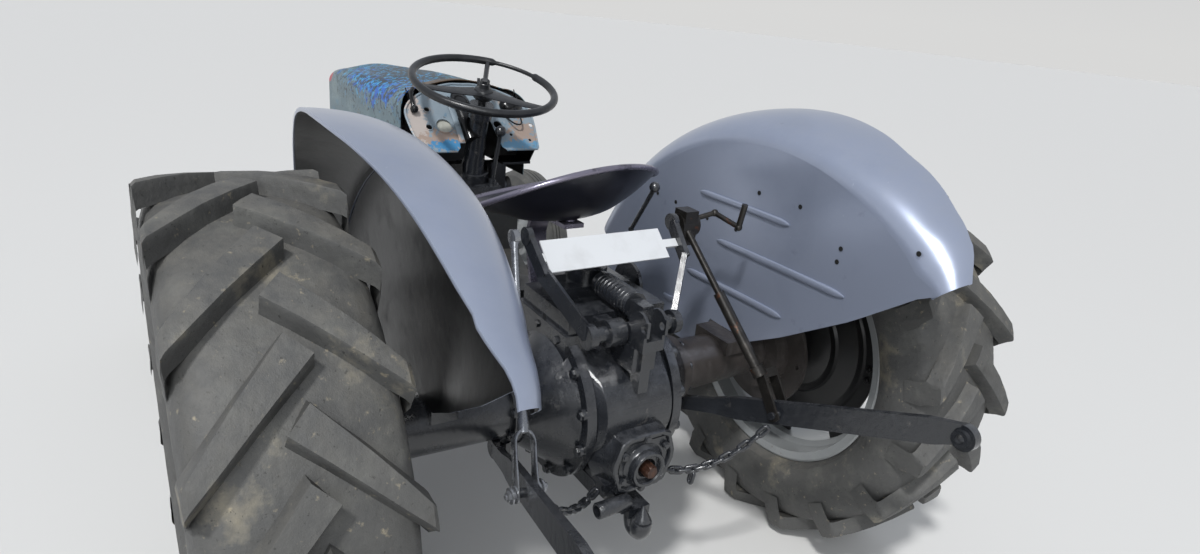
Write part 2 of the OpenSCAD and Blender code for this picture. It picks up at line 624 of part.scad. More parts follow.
// The steering box, its column and the side shafts of the drop arms
module steering_box() {
  color("black") difference() {
    union() {
      translate([740, -74, 868]) cube([200, 148, 72]);
      translate([column_base_x + 22, 0, 935]) rotate([0, -column_lean, 0]) cylinder(r = 62, h = 50, $fn = 64);
      translate([column_base_x, 0, column_base_z]) rotate([0, -column_lean, 0]) {
        cylinder(r1 = 40, r2 = 30, h = 120, $fn = 48);
        cylinder(r = 30, h = 235, $fn = 48);
        translate([0, 0, 200]) cylinder(r = 38, h = 44, $fn = 48);
      }
      translate([drop_x, 0, drop_pivot_z]) y_rod(drop_shaft_r, 2 * drop_face_y + 38, 64);
      translate([drop_x, 0, drop_pivot_z]) y_rod(32, 2 * drop_face_y - 2, 64);
      for (k = [0 : 3]) translate([752 + (k % 2) * 176, (k < 2 ? -58 : 58), 936]) cylinder(r = 10, h = 14, $fn = 6);
    }
    translate([column_base_x, 0, column_base_z]) rotate([0, -column_lean, 0]) translate([0, 0, 150]) cylinder(r = 12 + run_gap, h = 200, $fn = 48);
  }
}

module steering_wheel() {
  hub_drop = 14;
  color("black") translate([wheel_centre_x, 0, wheel_centre_z]) rotate([0, -column_lean, 0]) {
    rotate_extrude($fn = 72) translate([steer_wheel_r, 0]) circle(r = steer_rim_r, $fn = 32);
    for (a = [0, 120, 240]) rotate([0, 0, a]) {
      translate([24, -8, -hub_drop - 5]) rotate([0, -hub_drop * 0.28, 0]) cube([steer_wheel_r - 28, 16, 8]);
    }
    translate([0, 0, -hub_drop - 34]) cylinder(r = 30, h = 40, $fn = 48);
    translate([0, 0, -hub_drop + 6]) cylinder(r = 17, h = 16, $fn = 6);
    translate([0, 0, -130]) cylinder(r = 12, h = 100, $fn = 48);
  }
}

// Gear lever in its boss, the throttle lever on the column and the hydraulic lever beside the seat
module control_levers() {
  color("black") {
    translate([783, -60, 940.3]) cylinder(r = 12, h = 14, $fn = 32);
    bar([783, -60, 946], [739, -60, 1112], 7, 24);
    translate([737, -60, 1122]) sphere(r = 18, $fn = 32);
    bar([800.66, -11.12, 1184.78], [872, -38, 1222], 5, 16);
    translate([872, -38, 1222]) sphere(r = 7, $fn = 24);
    bar([872, -38, 1222], [876, -40, 1268], 5, 16);
    bar([126, -171.5, 850], [134, -171.5, 975], 6, 24);
    translate([134, -171.5, 975]) sphere(r = 8, $fn = 24);
    bar([134, -171.5, 975], [44, -162, 1112], 6, 24);
    translate([42, -162, 1118]) sphere(r = 14, $fn = 24);
  }
}

// The plates stay behind the drop arms at full lock
module pedals() {
  plate_x = 736;
  color("dimgray") for (side = [-1, 1]) {
    translate([630, side * 160, 520]) y_rod(14, 88, 32);
    flat_bar([630, side * 178, 520], [plate_x + 8, side * 178, 610], 14, 30);
    translate([plate_x, side * 178 - 36, 604]) rotate([0, -35, 0]) cube([10, 72, 66]);
    translate([630, side * 178, 520]) y_rod(26, 24, 48);
  }
}

module footrests() {
  inner = 215;
  wide = 215;
  color("dimgray") for (side = [-1, 1]) {
    difference() {
      translate([0, side > 0 ? inner + wide : -inner, 0]) rotate([90, 0, 0]) linear_extrude(height = wide)
        polygon([[456, 412], [464, 412], [464, 440], [862, 440], [980, 540], [974, 547], [858, 448], [456, 448]]);
      for (i = [0 : 6], j = [0 : 2]) translate([500 + i * 52, side * (250 + j * 62), 430]) cylinder(r = 9, h = 30, $fn = 24);
    }
    translate([500, side > 0 ? 105.3 : -260, 412]) cube([40, 154.7, 30]);
    translate([780, side > 0 ? 143.3 : -260, 412]) cube([40, 116.7, 30]);
  }
}

// The centre housing: a tall oval casting with a rounded back, a rib and a bolted ring on each side
module centre_housing() {
  color("black") difference() {
    union() {
      hull() {
        translate([0, 0, rear_axle_z]) y_rod(ring_r - 12, 230, 64);
        translate([-92, 0, rear_axle_z + 20]) y_rod(128, 190, 64);
        translate([130, -118, 420]) cube([10, 236, 290]);
      }
      translate([130, -130, 410]) cube([housing_front - 130, 260, 300]);
      for (side = [-1, 1]) {
        translate([0, side * 127, rear_axle_z]) y_rod(ring_r, 26, 96);
        translate([0, side * 190, rear_axle_z])
          rotate([side * 90, 0, 0]) translate([0, 0, -52]) cylinder(r1 = 96, r2 = ring_r - 24, h = 105, $fn = 96);
        for (i = [0 : 11]) translate([0, side * 146, rear_axle_z]) rotate([0, i * 30 + 15, 0])
          translate([ring_r - 14, 0, 0]) y_rod(9, 14, 6);
        translate([chain_anchor[0] - 17, side > 0 ? 60 : -90.4, 432]) cube([90, 30.4, 32]);
      }
      translate([-90, -150, 742]) cube([250, 300, 64]);
      translate([-214, -14, 690]) cube([120, 28, 114]);
      translate([-205, -33, 744]) cube([90, 66, 64]);
      // Power take-off cap and tow pad
      translate([-252, -70, pto_z - 66]) cube([60, 140, 132]);
      translate([-268, 0, pto_z]) rotate([0, 90, 0]) cylinder(r = 48, h = 60, $fn = 64);
      translate([-190, -92, 404]) cube([150, 184, 42]);
    }
    translate([-270, 0, pto_z]) rotate([0, 90, 0]) cylinder(r = pto_r + 8, h = 84, $fn = 64);
    translate([-190, 0, pto_z]) rotate([0, 90, 0]) cylinder(r = pto_r + run_gap, h = 64, $fn = 64);
  }
}

trumpet_in = 242.7;
trumpet_out = rear_half_track - 200;
module trumpet(left) {
  mirror_if(!left) color("dimgray") difference() {
    union() {
      translate([0, trumpet_in, rear_axle_z]) rotate([-90, 0, 0]) cylinder(r = 92, h = 26, $fn = 64);
      translate([0, trumpet_in, rear_axle_z]) rotate([-90, 0, 0]) cylinder(r1 = trumpet_r + 10, r2 = trumpet_r, h = trumpet_out - trumpet_in, $fn = 64);
      translate([0, trumpet_out - 10, rear_axle_z]) y_rod(backplate_r - 62, 50, 64);
      translate([0, trumpet_out + 18, rear_axle_z]) y_rod(backplate_r, 12, 96);
      translate([0, trumpet_out + 26, rear_axle_z]) y_rod(52, 20, 64);
      // Lower link's pin bracket under the trumpet
      translate([link_pin_x - 26, link_pin_y - link_t / 2 - 9 - 14, link_pin_z - 26]) cube([56, 14, 96]);
      translate([link_pin_x, link_pin_y - 12, link_pin_z]) y_rod(12.6, 46, 48);
      // Pads for the fender and the footrest
      translate([-70, fender_y - 64.3, rear_axle_z + 40]) cube([140, 64, 40]);
    }
    translate([0, trumpet_out + 18, rear_axle_z]) y_rod(34 + run_gap, 120, 64);
    for (i = [0 : 5]) translate([0, trumpet_out + 18, rear_axle_z]) rotate([0, i * 60, 0]) translate([backplate_r - 26, 0, 0]) y_rod(7, 30, 24);
  }
}

// Lid of the hydraulic lift, with the quadrant and the bearings of the cross shaft
module hydraulic_cover() {
  color("black") difference() {
    union() {
      translate([-84, -140, 806.3]) cube([230, 280, 46]);
      translate([14, -96, 850]) cube([120, 192, 30]);
      translate([78, 0, 876]) cylinder(r = 54, h = 40, $fn = 64);
      translate([78, 0, 914]) cylinder(r = 32, h = 40, $fn = 64);
      for (side = [-1, 1]) translate([lift_shaft_x, side * 56, lift_shaft_z]) y_rod(33, 44, 64);
      for (side = [-1, 1]) translate([lift_shaft_x + 4, side * 56 - 20, lift_shaft_z - 21]) cube([86, 40, 40]);
      translate([104, -160, 830]) y_rod(62, 10, 64);
      translate([88, -162, 812]) cube([32, 30, 36]);
      translate([60, 70, 876]) cube([50, 50, 26]);
    }
    translate([lift_shaft_x, 0, lift_shaft_z]) y_rod(19 + run_gap, 400, 64);
  }
}

// Cross shaft with its two flat lift arms
module lift_arms() {
  bend = [lift_shaft_x + 0.62 * lift_arm_l * cos(lift_arm_angle + 6), lift_arm_y - 6, lift_shaft_z + 0.62 * lift_arm_l * sin(lift_arm_angle + 6)];
  color("black") union() {
    translate([lift_shaft_x, 0, lift_shaft_z]) y_rod(19, 2 * lift_shaft_half + 10, 64);
    for (side = [-1, 1]) {
      translate([lift_shaft_x, side * lift_shaft_half, lift_shaft_z]) y_rod(30, 20, 48);
      flat_bar([lift_shaft_x, side * lift_shaft_half, lift_shaft_z], [bend[0], side * bend[1], bend[2]], lift_arm_t, 34);
      flat_bar([bend[0] - 4, side * (bend[1] - 1), bend[2] - 6], [arm_end_x, side * lift_arm_y, arm_end_z], lift_arm_t, 34);
      translate([arm_end_x, side * lift_arm_y, arm_end_z]) y_rod(22, lift_arm_t, 48);
    }
  }
}

// Blank plate on a strap between the arms' upper halves
module rear_plate() {
  bend = [lift_shaft_x + 0.62 * lift_arm_l * cos(lift_arm_angle + 6), 0, lift_shaft_z + 0.62 * lift_arm_l * sin(lift_arm_angle + 6)];
  rise = atan2(arm_end_z - bend[2], arm_end_x - bend[0]);
  strap = lift_arm_y - 3 - lift_arm_t / 2 - seat_gap - 1.4;
  translate([bend[0], 0, bend[2]]) rotate([0, 90 - rise, 0]) {
    color("white") translate([-2, -156, 0]) cube([4, 343, 84]);
    color("black") translate([1, -strap, 30]) cube([8, 2 * strap, 22]);
  }
}

// Lift rods: a forked foot round the lower link, and a levelling box with its crank on the right
module lift_rod(left) {
  foot = rod_foot;
  head = rod_head;
  d = head - foot;
  l = norm(d);
  ear_gap = 38;
  color("dimgray") mirror_if(!left) {
    translate(foot) rotate([0, acos(d[2] / l), atan2(d[1], d[0])]) {
      translate([0, 0, 110]) cylinder(r = left ? 11 : 15, h = l * (left ? 0.99 : 0.62) - 110, $fn = 32);
      if (!left) cylinder_at(l * 0.55, l * 0.97 - l * 0.55, 9);
      translate([0, 0, 108]) cylinder(r = 20, h = 26, $fn = 32);
    }
    // Fork, kept upright across the link
    translate(foot) rotate([0, 90 - atan2(d[2], d[0]), 0]) difference() {
      union() {
        for (s = [-1, 1]) translate([-16, s * (ear_gap / 2 + 3) - 3 + (s > 0 ? 0 : 0), -14]) cube([32, 6, 116]);
        translate([-16, -ear_gap / 2 - 6, 96]) cube([32, ear_gap + 12, 22]);
        for (s = [-1, 1]) translate([0, s * (ear_gap / 2 + 3), 0]) rotate([90, 0, 0]) cylinder(r = 17, h = 6, center = true, $fn = 32);
      }
      translate([0, 0, 0]) rotate([90, 0, 0]) cylinder(r = 10.1, h = 90, center = true, $fn = 32);
    }
    if (left)
      translate([head[0], head[1], head[2]]) y_rod(20, 14, 32);
    else {
      translate([head[0] - 24, head[1] - 9, head[2] - 62]) cube([48, 42, 92]);
      translate([head[0] + 6, head[1] + 16, head[2] - 14]) y_rod(32, 56, 48);
      bar([head[0], head[1] + 30, head[2]], [head[0] - 20, head[1] + 92, head[2] + 20], 7, 24);
      translate([head[0] - 20, head[1] + 92, head[2] + 20]) sphere(r = 10, $fn = 24);
      bar([head[0] - 20, head[1] + 92, head[2] + 20], [head[0] - 96, head[1] + 112, head[2] + 2], 7, 24);
      translate([head[0] - 96, head[1] + 112, head[2] + 2]) sphere(r = 10, $fn = 24);
      bar([head[0] - 96, head[1] + 112, head[2] + 2], [head[0] - 106, head[1] + 112, head[2] + 66], 8, 24);
    }
  }
}
module cylinder_at(z, h, r) {
  translate([0, 0, z]) cylinder(r = r, h = h, $fn = 24);
}

// Lower links: flat bars with a pin eye at the front and a ball at the back
module lower_link(left) {
  front = [link_pin_x, link_pin_y, link_pin_z];
  ball = [-link_ball_x, link_ball_y, link_ball_z];
  color("black") mirror_if(!left) {
    difference() {
      union() {
        translate(front) rotate([0, 0, -link_splay]) rotate([0, link_pitch, 0])
          translate([0, link_t / 2, 0]) rotate([90, 0, 0]) linear_extrude(height = link_t) polygon([
            [0, -19], [-130, -21], [-210, -link_h / 2], [-link_len + 70, -link_h / 2], [-link_len, -22],
            [-link_len, 22], [-link_len + 70, link_h / 2], [-210, link_h / 2], [-130, 21], [0, 19]
          ]);
        translate(front) y_rod(24, link_t, 48);
        translate(ball) y_rod(link_eye_r, 22, 64);
        translate(ball) y_rod(20, 44, 48);
      }
      translate(front) y_rod(12.65, 80, 48);
      translate(ball) y_rod(link_bore_r, 80, 48);
      translate(rod_foot) y_rod(10.2, 80, 48);
    }
    translate(rod_foot) y_rod(10, 64, 32);
  }
}

// Check chains: links that turn by a right angle from one to the next
chain_wire = 5;
chain_link_l = 40;
module chain_link() {
  rotate([0, 90, 0]) rotate_extrude($fn = 10) translate([11, 0]) circle(r = chain_wire, $fn = 5);
}
module check_chain(left) {
  from = chain_anchor + [-4, 22, -12];
  to = rod_foot + [4, -44, -44];
  n = 9;
  color("black") mirror_if(!left) {
    for (i = [0 : n]) {
      t = i / n;
      p = from * (1 - t) + to * t - [0, 0, 150 * t * (1 - t)];
      q = from * (1 - t - 0.02) + to * (t + 0.02) - [0, 0, 150 * (t + 0.02) * (0.98 - t)];
      d = q - p;
      translate(p) rotate([0, 0, atan2(d[1], d[0])]) rotate([0, -asin(d[2] / norm(d)), 0])
        rotate([i % 2 * 90, 0, 0]) link_body();
    }
    translate(from) y_rod(5.5, 20, 24);
  }
}
module link_body() {
  difference() {
    cube([chain_link_l, 24, 9], center = true);
    cube([chain_link_l - 18, 9, 20], center = true);
  }
}

// Top-link rocker: clevis, rocker and the control spring that runs forward to the hydraulic lid
module top_rocker() {
  color("black") {
    difference() {
      union() {
        translate([-232, -30, 808.3]) cube([64, 60, 74]);
        translate([-205, 0, 868]) y_rod(34, 60, 48);
        translate([-240, -30, 850]) cube([44, 60, 38]);
      }
      translate([-260, -22.2, 836]) cube([60, 44.4, 90]);
      translate([-226, 0, 868]) y_rod(9.6, 120, 48);
    }
    translate([-196, -16, 858]) cube([56, 32, 50]);
    translate([-146, 0, 891]) rotate([0, 90, 0]) {
      cylinder(r = 12, h = 150, $fn = 32);
      for (k = [0 : 7]) translate([0, 0, 9 + k * 16]) rotate_extrude($fn = 32) translate([26, 0]) circle(r = 6, $fn = 8);
      cylinder(r = 31, h = 6, $fn = 48);
      translate([0, 0, 138]) cylinder(r = 31, h = 10, $fn = 48);
    }
    for (k = [0 : 8]) translate([-132 + k * 16, -4, 900]) cube([8, 8, 22]);
    translate([-142, -4, 902]) cube([146, 8, 16]);
  }
}

// Splined power take-off shaft
module pto_shaft() {
  color("saddlebrown") translate([-292, 0, pto_z]) rotate([0, 90, 0]) {
    difference() {
      cylinder(r = pto_r, h = 146, $fn = 64);
      for (i = [0 : 5]) rotate([0, 0, i * 60]) translate([pto_r - 2, -3.4, -1]) cube([10, 6.8, 72]);
      translate([0, 0, 72]) rotate_extrude($fn = 64) translate([pto_r - 2, 0]) square([8, 5]);
    }
  }
}

// Tow hook: a pear-shaped pintle on a short arm under the power take-off
module tow_hook() {
  // Pad, pipe across it, and a hook whose thick end stands up to a blunt point
  stem = [-256, 24, 392];
  turn = [-262, 25, 352];
  bulb = [-294, 16, 354];
  color("black") {
    translate([-276, -20, 380]) cube([196, 62, 23.7]);
    translate([-190, -60, 386]) cube([110, 120, 17.7]);
    translate([-144, 0, 300]) cylinder(r = 18, h = 90, $fn = 48);
    bar(stem, turn, 16, 32);
    translate(turn) sphere(r = 17.5, $fn = 32);
    bar(turn, bulb, 19, 32);
    translate(bulb) rotate_extrude($fn = 48) polygon([
      [0, -30], [13, -27], [24, -15], [28, 0], [24, 20], [15, 44], [5, 70], [0, 72]
    ]);
    difference() {
      union() {
        translate([-268, 89, 430]) y_rod(20, 90, 48);
        translate([-270, 48, 396]) cube([66, 12, 30]);
        translate([-264, 36, 392]) cube([60, 18, 16]);
      }
      translate([-268, 108, 430]) y_rod(13, 80, 48);
    }
  }
}

// Seat pan: a shallow dish that rises at its back, carried on a bent flat spring
pan_rings = 5;
pan_steps = 32;
function pan_point(k, a, lift) = let(t = k / pan_rings)
  [seat_x + seat_half_l * t * cos(a), seat_half_w * t * sin(a),
   seat_z + lift + 62 * pow(t, 2.2) + 56 * pow(t, 2) * max(0, -cos(a)) - 22 * pow(t, 2) * max(0, cos(a))];
module seat() {
  t = 5;
  top = [for (k = [1 : pan_rings], j = [0 : pan_steps - 1]) pan_point(k, j * 360 / pan_steps, t)];
  under = [for (k = [1 : pan_rings], j = [0 : pan_steps - 1]) pan_point(k, j * 360 / pan_steps, 0)];
  n = pan_rings * pan_steps;
  centre_top = 2 * n;
  centre_under = 2 * n + 1;
  color("dimgray") {
    polyhedron(
      points = concat(top, under, [[seat_x, 0, seat_z + t], [seat_x, 0, seat_z]]),
      faces = concat(
        [for (j = [0 : pan_steps - 1]) [centre_top, (j + 1) % pan_steps, j]],
        [for (j = [0 : pan_steps - 1]) [centre_under, n + j, n + (j + 1) % pan_steps]],
        [for (k = [0 : pan_rings - 2], j = [0 : pan_steps - 1], h = [0, 1]) let(b = (j + 1) % pan_steps, p = k * pan_steps, q = p + pan_steps)
          h == 0 ? [p + j, p + b, q + b] : [p + j, q + b, q + j]],
        [for (k = [0 : pan_rings - 2], j = [0 : pan_steps - 1], h = [0, 1]) let(b = (j + 1) % pan_steps, p = n + k * pan_steps, q = p + pan_steps)
          h == 0 ? [p + j, q + j, q + b] : [p + j, q + b, p + b]],
        [for (j = [0 : pan_steps - 1], h = [0, 1]) let(b = (j + 1) % pan_steps, p = (pan_rings - 1) * pan_steps, q = n + p)
          h == 0 ? [p + j, p + b, q + b] : [p + j, q + b, q + j]]
      ), convexity = 4);
    // Rolled rim
    for (j = [0 : pan_steps - 1]) hull() {
      translate(pan_point(pan_rings, j * 360 / pan_steps, 2)) sphere(r = 5, $fn = 8);
      translate(pan_point(pan_rings, (j + 1) * 360 / pan_steps, 2)) sphere(r = 5, $fn = 8);
    }
    // Bent flat spring down to the gearbox
    translate([seat_x - 60, -32, seat_z - 11]) cube([150, 64, 13.3]);
    flat_bar([seat_x + 84, 0, seat_z - 8], [seat_x + 134, 0, 900], 60, 12);
    flat_bar([seat_x + 132, 0, 906], [seat_x + 74, 0, 697], 60, 12);
    translate([seat_x + 30, -30, 690.3]) cube([90, 60, 14]);
  }
}

// Fender: a flat inner panel with pressed ribs, and a crown that bulges out over the tyre
crown_c = [-50, 462];
crown_from = 22;
crown_to = 134;
// The tail tucks in towards the axle
function crown_radius(a) = crown_r - 25 * pow(max(0, (a - 124) / 10), 2);
crown_stations = 18;
section_steps = 6;
// Lip of the crown: angle round the crown's centre, sideways place of the lip
lip_table = [[22, 560], [45, 606], [75, 672], [92, 692], [108, 650], [120, 612], [129, 575], [134, 522]];
// Ribs: start and end along the length, height
rib_table = [[250, -120, 1036], [255, -330, 905], [255, -145, 782], [300, 240, 660]];
function crown_at(a, section) = let(
    w = lookup(a, lip_table) - fender_y,
    rise = min(crown_rise, w * 0.9),
    y = fender_y + w * section[0],
    r = crown_radius(a) - rise + rise * section[1])
  [crown_c[0] + r * cos(a), y, crown_c[1] + r * sin(a)];
flange_h = 16;
function crown_outer(a) = concat([crown_at(a, [0, 0]) - flange_h * [cos(a), 0, sin(a)]],
  [for (i = [0 : section_steps]) let(p = 90 * i / section_steps) crown_at(a, [1 - cos(p), sin(p)])]);
function crown_inner(a) = concat([for (i = [section_steps : -1 : 0])
  let(p = 90 * i / section_steps, q = crown_at(a, [1 - cos(p), sin(p)]),
      n = [sin(p) * cos(a), -cos(p), sin(p) * sin(a)]) q - fender_t * n],
  [crown_at(a, [0, 0]) - flange_h * [cos(a), 0, sin(a)] + [0, fender_t, 0]]);
crown_step = (crown_to - crown_from) / crown_stations;
function panel_edge(a) = let(w = lookup(a, lip_table) - fender_y, r = crown_radius(a) - min(crown_rise, w * 0.9) - 2)
  [crown_c[0] + r * cos(a), crown_c[1] + r * sin(a)];
module fender(left) {
  mirror_if(!left) color("silver")
    loft([for (k = [0 : crown_stations]) let(a = crown_from + k * crown_step) concat(crown_outer(a), crown_inner(a))]);
}

module fender_panel(left) {
  face = fender_y - seat_gap;
  mirror_if(!left) color("silver") {
    difference() {
      translate([0, face, 0]) rotate([90, 0, 0]) linear_extrude(height = fender_t)
        polygon(concat(
          [for (k = [0 : crown_stations]) panel_edge(crown_from + k * crown_step)],
          [[-380, 862], [-130, 720], [-84, rear_axle_z + 80.3], [84, rear_axle_z + 80.3], [130, 560], [640, 560], [700, 640]]
        ));
      for (h = [[-40, 1160], [60, 1080], [-300, 980], [-470, 1010], [420, 980], [380, 1040], [150, 760]])
        translate([h[0], fender_y, h[1]]) y_rod(6, 40, 24);
    }
    for (r = rib_table) hull() {
      translate([r[0], face - fender_t, r[2]]) sphere(r = 9, $fn = 16);
      translate([r[1], face - fender_t, r[2] + 6]) sphere(r = 9, $fn = 16);
    }
    // Foot brackets on the trumpet and above the footrest
    translate([-60, face - 60, rear_axle_z + 80.3]) cube([120, 58, 8]);
    translate([590, face - 60, 560]) cube([50, 58, 8]);
  }
}

placed() rear_tyre(true);  // rear_tyre_left
placed() rear_tyre(false);  // rear_tyre_right
placed() rear_wheel(true);  // rear_wheel_left
placed() rear_wheel(false);  // rear_wheel_right
placed() front_tyre(true);  // front_tyre_left
placed() front_tyre(false);  // front_tyre_right
placed() front_wheel(true);  // front_wheel_left
placed() front_wheel(false);  // front_wheel_right
placed() knuckle(true);  // knuckle_left
placed() knuckle(false);  // knuckle_right
placed() { front_axle(); radius_rods(); }
placed() drag_link(true);  // drag_link_left
placed() drag_link(false);  // drag_link_right
placed() drop_arm(true);  // drop_arm_left
placed() drop_arm(false);  // drop_arm_right
placed() { engine(); fuel_tank(); }
placed() manifold();
placed() radiator();
placed() bonnet();
placed() dash();
placed() gearbox();
placed() steering_box();
placed() steering_wheel();
placed() control_levers();
placed() { footrests(); pedals(); }
placed() centre_housing();
placed() trumpet(true);  // trumpet_left
placed() trumpet(false);  // trumpet_right
placed() hydraulic_cover();
placed() lift_arms();
placed() rear_plate();
placed() lift_rod(true);  // lift_rod_left
placed() lift_rod(false);  // lift_rod_right
placed() lower_link(true);  // lower_link_left
placed() lower_link(false);  // lower_link_right
placed() check_chain(true);  // check_chain_left
placed() check_chain(false);  // check_chain_right
placed() top_rocker();
placed() pto_shaft();
placed() tow_hook();
placed() seat();
placed() fender(true);  // fender_left
placed() fender(false);  // fender_right
placed() fender_panel(true);  // fender_panel_left
placed() fender_panel(false);  // fender_panel_right
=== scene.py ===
import math
import random

import bmesh
import bpy
from mathutils import Matrix, Vector, noise


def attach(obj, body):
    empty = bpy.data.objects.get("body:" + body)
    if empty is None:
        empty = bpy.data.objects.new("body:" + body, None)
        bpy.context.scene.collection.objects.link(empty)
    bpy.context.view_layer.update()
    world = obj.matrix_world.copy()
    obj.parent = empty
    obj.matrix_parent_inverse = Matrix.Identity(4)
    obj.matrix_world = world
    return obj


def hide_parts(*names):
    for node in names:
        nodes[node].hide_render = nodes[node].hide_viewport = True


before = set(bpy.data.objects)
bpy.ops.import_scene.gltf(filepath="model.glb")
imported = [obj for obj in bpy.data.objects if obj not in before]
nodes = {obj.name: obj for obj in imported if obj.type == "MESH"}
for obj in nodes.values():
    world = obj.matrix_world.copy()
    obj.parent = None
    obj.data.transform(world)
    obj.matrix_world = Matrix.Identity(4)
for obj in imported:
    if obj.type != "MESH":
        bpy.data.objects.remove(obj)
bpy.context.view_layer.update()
scene = bpy.context.scene
noise.seed_set(11)
sides = (("left", 1), ("right", -1))
print("frame loaded:", len(nodes), "nodes")

# drawn in millimetres from the ground below the rear axle
tractor = {"axleX": -680, "axleZ": 598, "halfTrack": 808}


def at(x, y, z):
    return Vector((x + tractor["axleX"], y, z)) / 1000


def onAxle(y):
    return at(0, y, tractor["axleZ"])


cameraSettings = {"place": (-1421.1, 995.5, 1575.0), "yaw": 34.79, "pitch": 21.07, "roll": 5.93,
                  "lens": 22.29}


def setCamera(s):
    y, p, r = (math.radians(s[k]) for k in ("yaw", "pitch", "roll"))
    forward = Vector((math.cos(p) * math.cos(y), -math.cos(p) * math.sin(y), -math.sin(p)))
    right = Vector((-math.sin(y), -math.cos(y), 0))
    up = right.cross(forward)
    turnedRight = math.cos(r) * right + math.sin(r) * up
    turnedUp = -math.sin(r) * right + math.cos(r) * up
    m = Matrix((turnedRight, turnedUp, -forward)).transposed().to_4x4()
    m.translation = at(*s["place"])
    data = bpy.data.cameras.new("camera")
    data.lens = s["lens"]
    data.sensor_width = 36
    data.clip_end = 60
    cam = bpy.data.objects.new("camera", data)
    cam.matrix_world = m
    scene.collection.objects.link(cam)
    scene.camera = cam


stage = {
    "floorColour": (0.60, 0.595, 0.58, 1), "floorRadius": 45, "floorZ": -0.0006,
    "horizon": (1.25, 1.25, 1.24, 1), "zenith": (0.86, 0.91, 1.0, 1), "skyStrength": 0.55,
    "sunEnergy": 2.5, "sunAngle": 6, "sunWay": (0.39, -0.56, -1.0),
    "fillPlace": (-4.2, 2.6, 3.4), "fillWay": (4.2, -2.6, -2.8), "fillSize": 3.0, "fillPower": 90,
}


def addLight(name, kind, way, place=(0, 0, 0), **values):
    data = bpy.data.lights.new(name, kind)
    for k, v in values.items():
        setattr(data, k, v)
    ob = bpy.data.objects.new(name, data)
    ob.location = place
    ob.rotation_euler = Vector(way).to_track_quat("-Z", "Y").to_euler()
    scene.collection.objects.link(ob)


def setStage(s):
    mat = bpy.data.materials.new("paleFloor")
    mat.use_nodes = True
    bsdf = mat.node_tree.nodes["Principled BSDF"]
    bsdf.inputs["Base Color"].default_value = s["floorColour"]
    bsdf.inputs["Roughness"].default_value = 0.9
    bm = bmesh.new()
    bmesh.ops.create_circle(bm, cap_ends=True, segments=96, radius=s["floorRadius"])
    me = bpy.data.meshes.new("floor")
    bm.to_mesh(me)
    bm.free()
    me.materials.append(mat)
    floor = bpy.data.objects.new("floor", me)
    scene.collection.objects.link(floor)
    floor.location.z = s["floorZ"]
    world = bpy.data.worlds.new("studio")
    scene.world = world
    world.use_nodes = True
    tree = world.node_tree
    tree.nodes.clear()
    kinds = ("OutputWorld", "Background", "ValToRGB", "TexCoord", "SeparateXYZ")
    out, back, ramp, coord, split = (tree.nodes.new("ShaderNode" + k) for k in kinds)
    for element, place, colour in zip(ramp.color_ramp.elements, (0.0, 0.5), (s["horizon"], s["zenith"])):
        element.position = place
        element.color = colour
    tree.links.new(coord.outputs["Generated"], split.inputs[0])
    tree.links.new(split.outputs["Z"], ramp.inputs["Fac"])
    tree.links.new(ramp.outputs["Color"], back.inputs["Color"])
    tree.links.new(back.outputs[0], out.inputs["Surface"])
    back.inputs["Strength"].default_value = s["skyStrength"]
    addLight("sky", "SUN", s["sunWay"], energy=s["sunEnergy"], angle=math.radians(s["sunAngle"]))
    addLight("fill", "AREA", s["fillWay"], s["fillPlace"], shape="DISK", size=s["fillSize"],
             energy=s["fillPower"], color=(0.95, 0.98, 1.0))


scene.view_settings.view_transform = "Standard"
setCamera(cameraSettings)
setStage(stage)
print("camera and light set")


